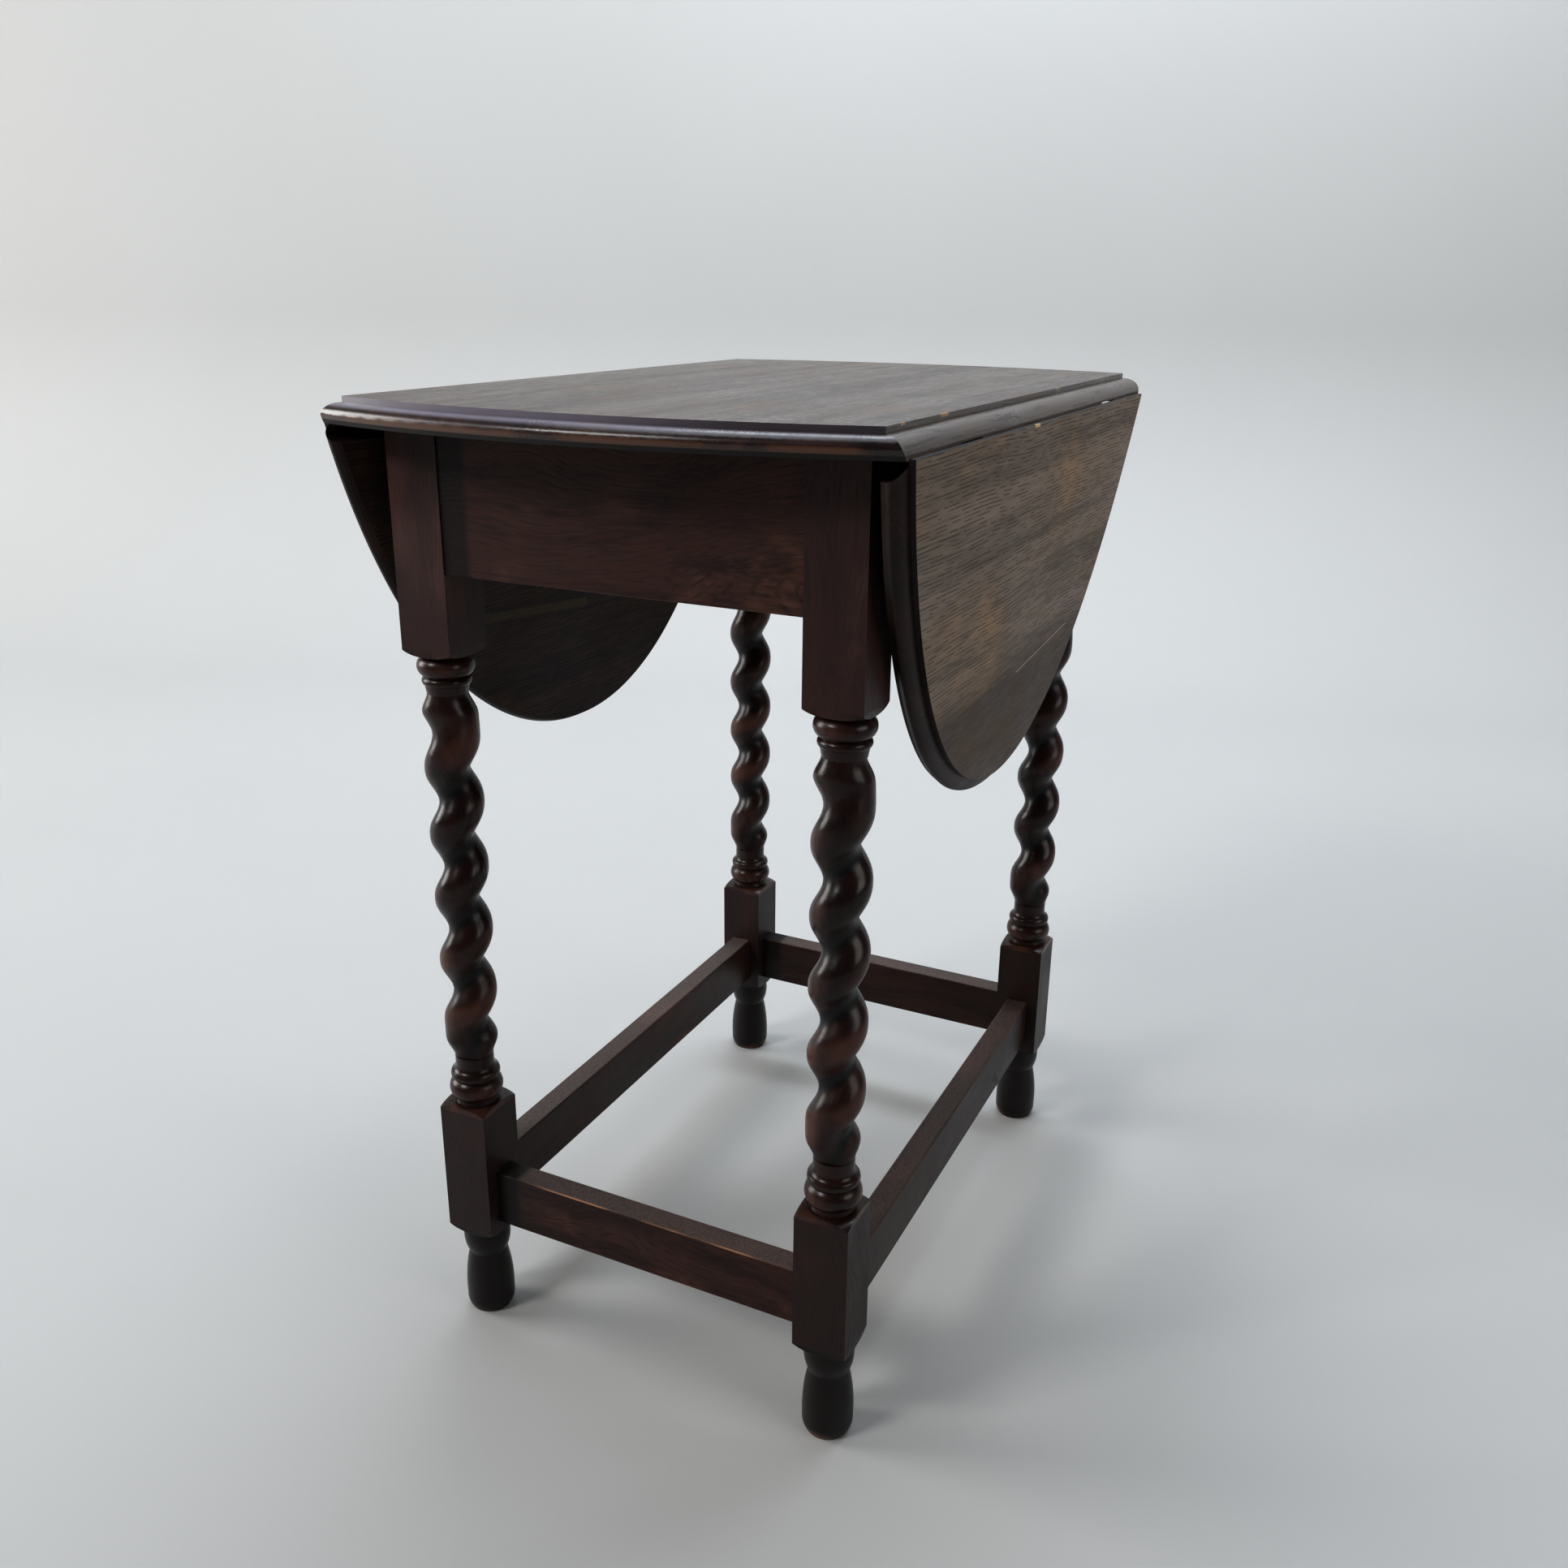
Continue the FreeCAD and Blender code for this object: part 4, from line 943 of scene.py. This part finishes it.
@dataclass
class LowerFrame:
    """The aprons, stretchers, side rails, fly brackets and glue blocks.

    Attributes:
        dust: The dust on the upper faces.
        dusting: How thinly and how thickly it lies on most rails.
        sheltered: The same on the right stretcher, which lies under the leaf.
        dust_speck: The noise at which dust starts to gather, and at which it lies thickly.
        dust_spots: The specks in a metre.
        upward: How far a surface looks up, where dust starts to stay and where it all does.
        dust_rough: The roughness of a dusty face.
        rubbed_oak: The wood that shows on rubbed edges.
        edge_patch: The patches in which the edges are rubbed.
        light_wear: How far the edges are rubbed, apart from the front stretcher's.
        feet_reach: How far from its middle feet start to rub the front stretcher, and rub it most.
        feet_height: The heights for the same.
        feet_share: How strongly the front stretcher is rubbed, at the least and the most.
        grime_reach: How far from the left legs their painted shadow starts, and where it is thick.
        grime_share: Its strength.
        pore_depth: The depth of the open pores on what shows, and on what doesn't.
        shine: The specular level of what shows, and of what doesn't.
    """

    dust: Colour = (0.235, 0.190, 0.172)
    dusting: Ramp = (0.18, 0.46)
    sheltered: Ramp = (0.05, 0.20)
    dust_speck: Ramp = (0.35, 0.72)
    dust_spots: float = 900.0
    upward: Ramp = (0.6, 0.95)
    dust_rough: float = 0.6
    rubbed_oak: Colour = (0.42, 0.19, 0.095)
    edge_patch: Ramp = (0.36, 0.56)
    light_wear: float = 0.12
    feet_reach: Ramp = (0.115, 0.070)
    feet_height: Ramp = (0.12, 0.13)
    feet_share: Pair = (0.15, 1.0)
    # Painted shadow of the left legs on the aprons and end stretchers.
    grime_reach: Ramp = (24 * MM, 16.8 * MM)
    grime_share: float = 0.92
    pore_depth: Pair = (0.06 * MM, 0.15 * MM)
    shine: Pair = (0.18, 0.2)

    def build(self) -> None:
        """Dress every rail and block."""
        for end in End:
            node = f"apron_{end.word}"
            dress(node, self.rail(node, Grain.ACROSS, APRON, Seed.APRON.value + end.value))
            node = f"stretcher_{end.word}"
            stain = APRON if end is End.FRONT else RAIL
            seed = Seed.END_STRETCHER.value + end.value
            dress(node, self.rail(node, Grain.ACROSS, stain, seed))
        for side in Side:
            node = f"stretcher_{side.word}"
            seed = Seed.SIDE_STRETCHER.value + side.value
            dress(node, self.rail(node, Grain.ALONG, RAIL, seed))
            for number, piece in enumerate(("side_rail", "fly", "fly_block")):
                node = f"{piece}_{side.word}"
                seed = Seed.BEHIND_LEAF.value + 3 * number + side.value
                dress(node, self.hidden(node, seed))
            for end in End:
                node = f"corner_block_{end.word}_{side.word}"
                seed = Seed.CORNER.value + 2 * side.value + end.value
                dress(node, self.hidden(node, seed))

    def rail(self, node: str, grain: Grain, stain: Stain, seed: float) -> Material:
        """Finish a rail that shows: stained sides, a dusty top and rubbed edges.

        Args:
            node: The rail's node.
            grain: The direction of its fibres.
            stain: Its stain.
            seed: Its own number.

        Returns:
            The material.
        """
        oak = Oak(node + "_oak", grain, seed, FLAMED)
        graph = oak.graph
        upward = graph.between(graph.parts(graph.facing)[2], *self.upward)
        specks = graph.between(graph.spots(grey(self.dust_spots), 3.0), *self.dust_speck)
        dusting = self.sheltered if node == "stretcher_right" else self.dusting
        dusty = graph.times(upward, graph.scaled(specks, *dusting))
        edge = graph.times(oak.chamfer(), oak.patchy(self.edge_patch))
        rubbed = graph.times(edge, self.worn_run(graph, node))
        colour = graph.mixed(rubbed, oak.coloured(stain), self.rubbed_oak)
        colour = graph.mixed(dusty, colour, self.dust)
        # Painted shadow beside the left legs, on the rails that run across.
        if grain is Grain.ACROSS:
            colour = graph.mixed(self.grime(graph), colour, PAINTED_SHADE)
        rough = graph.mixed(upward, oak.roughness(stain), grey(self.dust_rough))
        return graph.finish(Base_Color=colour, Roughness=rough,
                            Normal=oak.relief(self.pore_depth[0]), Specular_IOR_Level=self.shine[0])

    def worn_run(self, graph: Graph, node: str) -> object:
        """Say how far a rail's edges are rubbed: feet have worn the front stretcher's middle.

        Args:
            graph: The rail's tree.
            node: The rail's node.

        Returns:
            A number, or a socket for the front stretcher.
        """
        if node != "stretcher_front":
            return self.light_wear
        middle = graph.between(graph.size(graph.along_x), *self.feet_reach)
        trodden = graph.times(middle, graph.between(graph.height, *self.feet_height))
        return graph.scaled(trodden, *self.feet_share)

    def grime(self, graph: Graph) -> Socket:
        """Find where the left legs' painted shadow falls on the rail, beside them.

        Args:
            graph: The rail's tree.

        Returns:
            Nearly 1 in the painted shadow and 0 elsewhere.
        """
        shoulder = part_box("leg_front_left")[1].x
        away = graph.math("SUBTRACT", graph.along_x, shoulder)
        return graph.scaled(graph.between(away, *self.grime_reach), 0.0, self.grime_share)

    def hidden(self, node: str, seed: float) -> Material:
        """Finish a piece under the top, which was never polished.

        Args:
            node: The piece's node.
            seed: Its own number.

        Returns:
            The material.
        """
        oak = Oak(node + "_oak", Grain.ALONG, seed)
        return oak.graph.finish(Base_Color=oak.coloured(UNPOLISHED),
                                Roughness=oak.roughness(UNPOLISHED),
                                Normal=oak.relief(self.pore_depth[1]),
                                Specular_IOR_Level=self.shine[1])


@dataclass
class Ironwork:
    """The hinges, their pins and the screws, in steel that has gone brown.

    Attributes:
        bright: The bare steel.
        rust: The brown film of rust on it.
        patch: The noise at which the rust starts, and at which it is complete.
        patch_spots: The patches of rust in a metre.
        rough: The roughness of the steel, and of the rust.
        grit: The height of the rust's grit.
        grit_spots: The grains of it in a metre.
        pieces: How the names of the steel nodes begin.
    """

    bright: Colour = (0.23, 0.21, 0.19)
    rust: Colour = (0.10, 0.045, 0.022)
    patch: Ramp = (0.46, 0.60)
    patch_spots: float = 160.0
    rough: Pair = (0.38, 0.8)
    grit: float = 0.05 * MM
    grit_spots: float = 1500.0
    pieces: tuple[str, ...] = ("hinge_", "fly_pin", "fly_screws", "top_screws")

    def build(self) -> None:
        """Dress every steel piece."""
        steel = self.steel()
        for node in sorted(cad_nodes):
            if node.startswith(self.pieces):
                dress(node, steel)

    def steel(self) -> Material:
        """Age the steel.

        Returns:
            The material, with brown rust in patches.
        """
        graph = Graph("aged_steel")
        rusty = graph.between(graph.spots(grey(self.patch_spots), 5.0, 0.65), *self.patch)
        grains = graph.spots(grey(self.grit_spots), 2.0)
        bump = graph.node("ShaderNodeBump")
        graph.feed(bump.inputs["Distance"], self.grit)
        graph.feed(bump.inputs["Height"], graph.times(grains, rusty))
        return graph.finish(Base_Color=graph.mixed(rusty, self.bright, self.rust),
                            Metallic=graph.scaled(rusty, 1.0, 0.15),
                            Roughness=graph.scaled(rusty, *self.rough),
                            Normal=bump.outputs["Normal"])


@dataclass(frozen=True)
class Lamp:
    """A soft rectangular light.

    Attributes:
        name: The lamp's name.
        place: Its middle, in metres.
        target: The point that it looks at.
        size: Its width and height.
        power: Its power in watts.
        colour: The colour of its light.
    """

    name: str
    place: Place
    target: Place
    size: Pair
    power: float
    colour: Colour

    def hang(self) -> None:
        """Add the lamp to the scene."""
        data = bpy.data.lights.new(self.name, "AREA")
        data.shape = "RECTANGLE"
        data.size, data.size_y = self.size
        data.energy = self.power
        data.color = self.colour
        made = bpy.data.objects.new(self.name, data)
        made.location = self.place
        look = Vector(self.target) - Vector(self.place)
        made.rotation_euler = look.to_track_quat("-Z", "Y").to_euler()
        bpy.context.scene.collection.objects.link(made)


@dataclass
class Studio:
    """The plain pale floor that sweeps up to a wall, the soft lights and the camera.

    Attributes:
        wall_turn: The wall's turn from the table's X axis, in degrees.
        wall_away: The distance of the wall from the table's middle.
        sweep: The radius between the floor and the wall.
        sweep_steps: The number of faces in that radius.
        half_width: Half the width of the floor.
        wall_height: The height of the wall.
        pale: The colour of the floor and the wall.
        cloudy: How dark that gets in patches, as a share.
        matt: Their roughness.
        dim: The colour of the even light that fills the room.
        dim_power: Its strength.
        contrast: The view's gamma, where less than 1 deepens the darks.
        eye: The camera's place.
        turn: The camera's yaw, pitch and roll, in degrees.
        sensor: The width of the camera's sensor, in millimetres.
        lens: Its focal length, in millimetres.
        lamps: The soft lights.
    """

    wall_turn: float = 18.1
    wall_away: float = 2.3
    sweep: float = 0.7
    sweep_steps: int = 24
    half_width: float = 6.0
    wall_height: float = 3.2
    pale: Colour = (0.46, 0.46, 0.45)
    cloudy: float = 0.95
    matt: float = 0.7
    dim: Colour = (0.82, 0.88, 1.0)
    dim_power: float = 0.07
    contrast: float = 0.9
    eye: Place = (0.46295, -0.96916, 0.78149)
    turn: tuple[float, float, float] = (25.59, -19.76, 0.63)
    sensor: float = 36.0
    lens: float = 32.23
    lamps: tuple[Lamp, ...] = (
        Lamp("window", (-4.3, -1.1, 1.7), (0, -0.2, 0.35), (1.8, 2.4), 160.0, (1.0, 0.99, 0.97)),
        Lamp("doorway", (-1.9, -2.9, 2.9), (0, 0, 0.3), (1.05, 0.75), 78.0, (1.0, 0.99, 0.98)),
        Lamp("side_fill", (3.4, -0.4, 1.5), (0, 0, 0.45), (2.0, 1.4), 36.0, (1.0, 0.97, 0.93)),
        Lamp("skylight", (-0.5, 0.9, 3.4), (-0.3, 0.9, 0), (3.0, 2.6), 75.0, (0.80, 0.88, 1.0)),
        Lamp("wall_wash", (0.2, 1.3, 2.9), (-0.1, 2.6, 0.8), (2.8, 0.5), 58.0, (0.90, 0.95, 1.0)),
    )

    def build(self) -> None:
        """Make the floor, the lights and the camera."""
        self.make_floor()
        self.make_world()
        for lamp in self.lamps:
            lamp.hang()
        self.make_camera()
        view = bpy.context.scene.view_settings
        view.view_transform = "Standard"
        view.gamma = self.contrast
        LOG.info("set up the floor, %d lamps and the camera", len(self.lamps))

    def make_floor(self) -> None:
        """Make one sheet: the floor, a quarter round, and the wall."""
        profile = [(-self.half_width, 0.0), (self.wall_away - self.sweep, 0.0)]
        for step in range(1, self.sweep_steps + 1):
            angle = math.radians(90) * step / self.sweep_steps
            depth = self.wall_away - self.sweep * (1 - math.sin(angle))
            profile.append((depth, self.sweep * (1 - math.cos(angle))))
        profile.append((self.wall_away, self.wall_height))
        mesh = bpy.data.meshes.new("floor")
        shape = bmesh.new()
        rows = [[shape.verts.new((x, depth, height)) for depth, height in profile]
                for x in (-self.half_width, self.half_width)]
        left, right = rows
        for low in range(len(profile) - 1):
            high = low + 1
            face = shape.faces.new((left[low], right[low], right[high], left[high]))
            face.smooth = True
        shape.transform(Matrix.Rotation(math.radians(self.wall_turn), 4, "Z"))
        shape.to_mesh(mesh)
        shape.free()
        floor = bpy.data.objects.new("floor", mesh)
        bpy.context.scene.collection.objects.link(floor)
        mesh.materials.append(self.plaster())

    def plaster(self) -> Material:
        """Finish the floor and the wall.

        Returns:
            The plain pale material.
        """
        graph = Graph("pale_floor")
        cloud = graph.spots(grey(2.0), 3.0)
        darker = tuple(part * self.cloudy for part in self.pale)
        return graph.finish(Base_Color=graph.mixed(cloud, darker, self.pale), Roughness=self.matt)

    def make_world(self) -> None:
        """Fill the room with a dim even light."""
        world = bpy.data.worlds.new("room")
        world.use_nodes = True
        back = next(node for node in world.node_tree.nodes if node.type == "BACKGROUND")
        back.inputs["Color"].default_value = (*self.dim, 1.0)
        back.inputs["Strength"].default_value = self.dim_power
        bpy.context.scene.world = world

    def make_camera(self) -> None:
        """Stand the camera where a person looks down at the table's near right corner."""
        data = bpy.data.cameras.new("camera")
        data.sensor_width = self.sensor
        data.lens = self.lens
        made = bpy.data.objects.new("camera", data)
        yaw, pitch, roll = (math.radians(angle) for angle in self.turn)
        turn = Matrix.Rotation(yaw, 4, "Z") @ Matrix.Rotation(math.radians(90) + pitch, 4, "X")
        place = Matrix.Translation(self.eye)
        made.matrix_world = place @ turn @ Matrix.Rotation(roll, 4, "Z")
        bpy.context.scene.collection.objects.link(made)
        bpy.context.scene.camera = made


def main() -> None:
    """Load the model, dress each sub-assembly and set up the studio."""
    logging.basicConfig(level=logging.INFO, format="%(name)s: %(message)s")
    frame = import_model()
    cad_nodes.update(frame["nodes"])
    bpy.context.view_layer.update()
    OvalTop().build(frame["joints"])
    TwistLegs().build()
    LowerFrame().build()
    Ironwork().build()
    Studio().build()


if __name__ == "__main__":
    main()
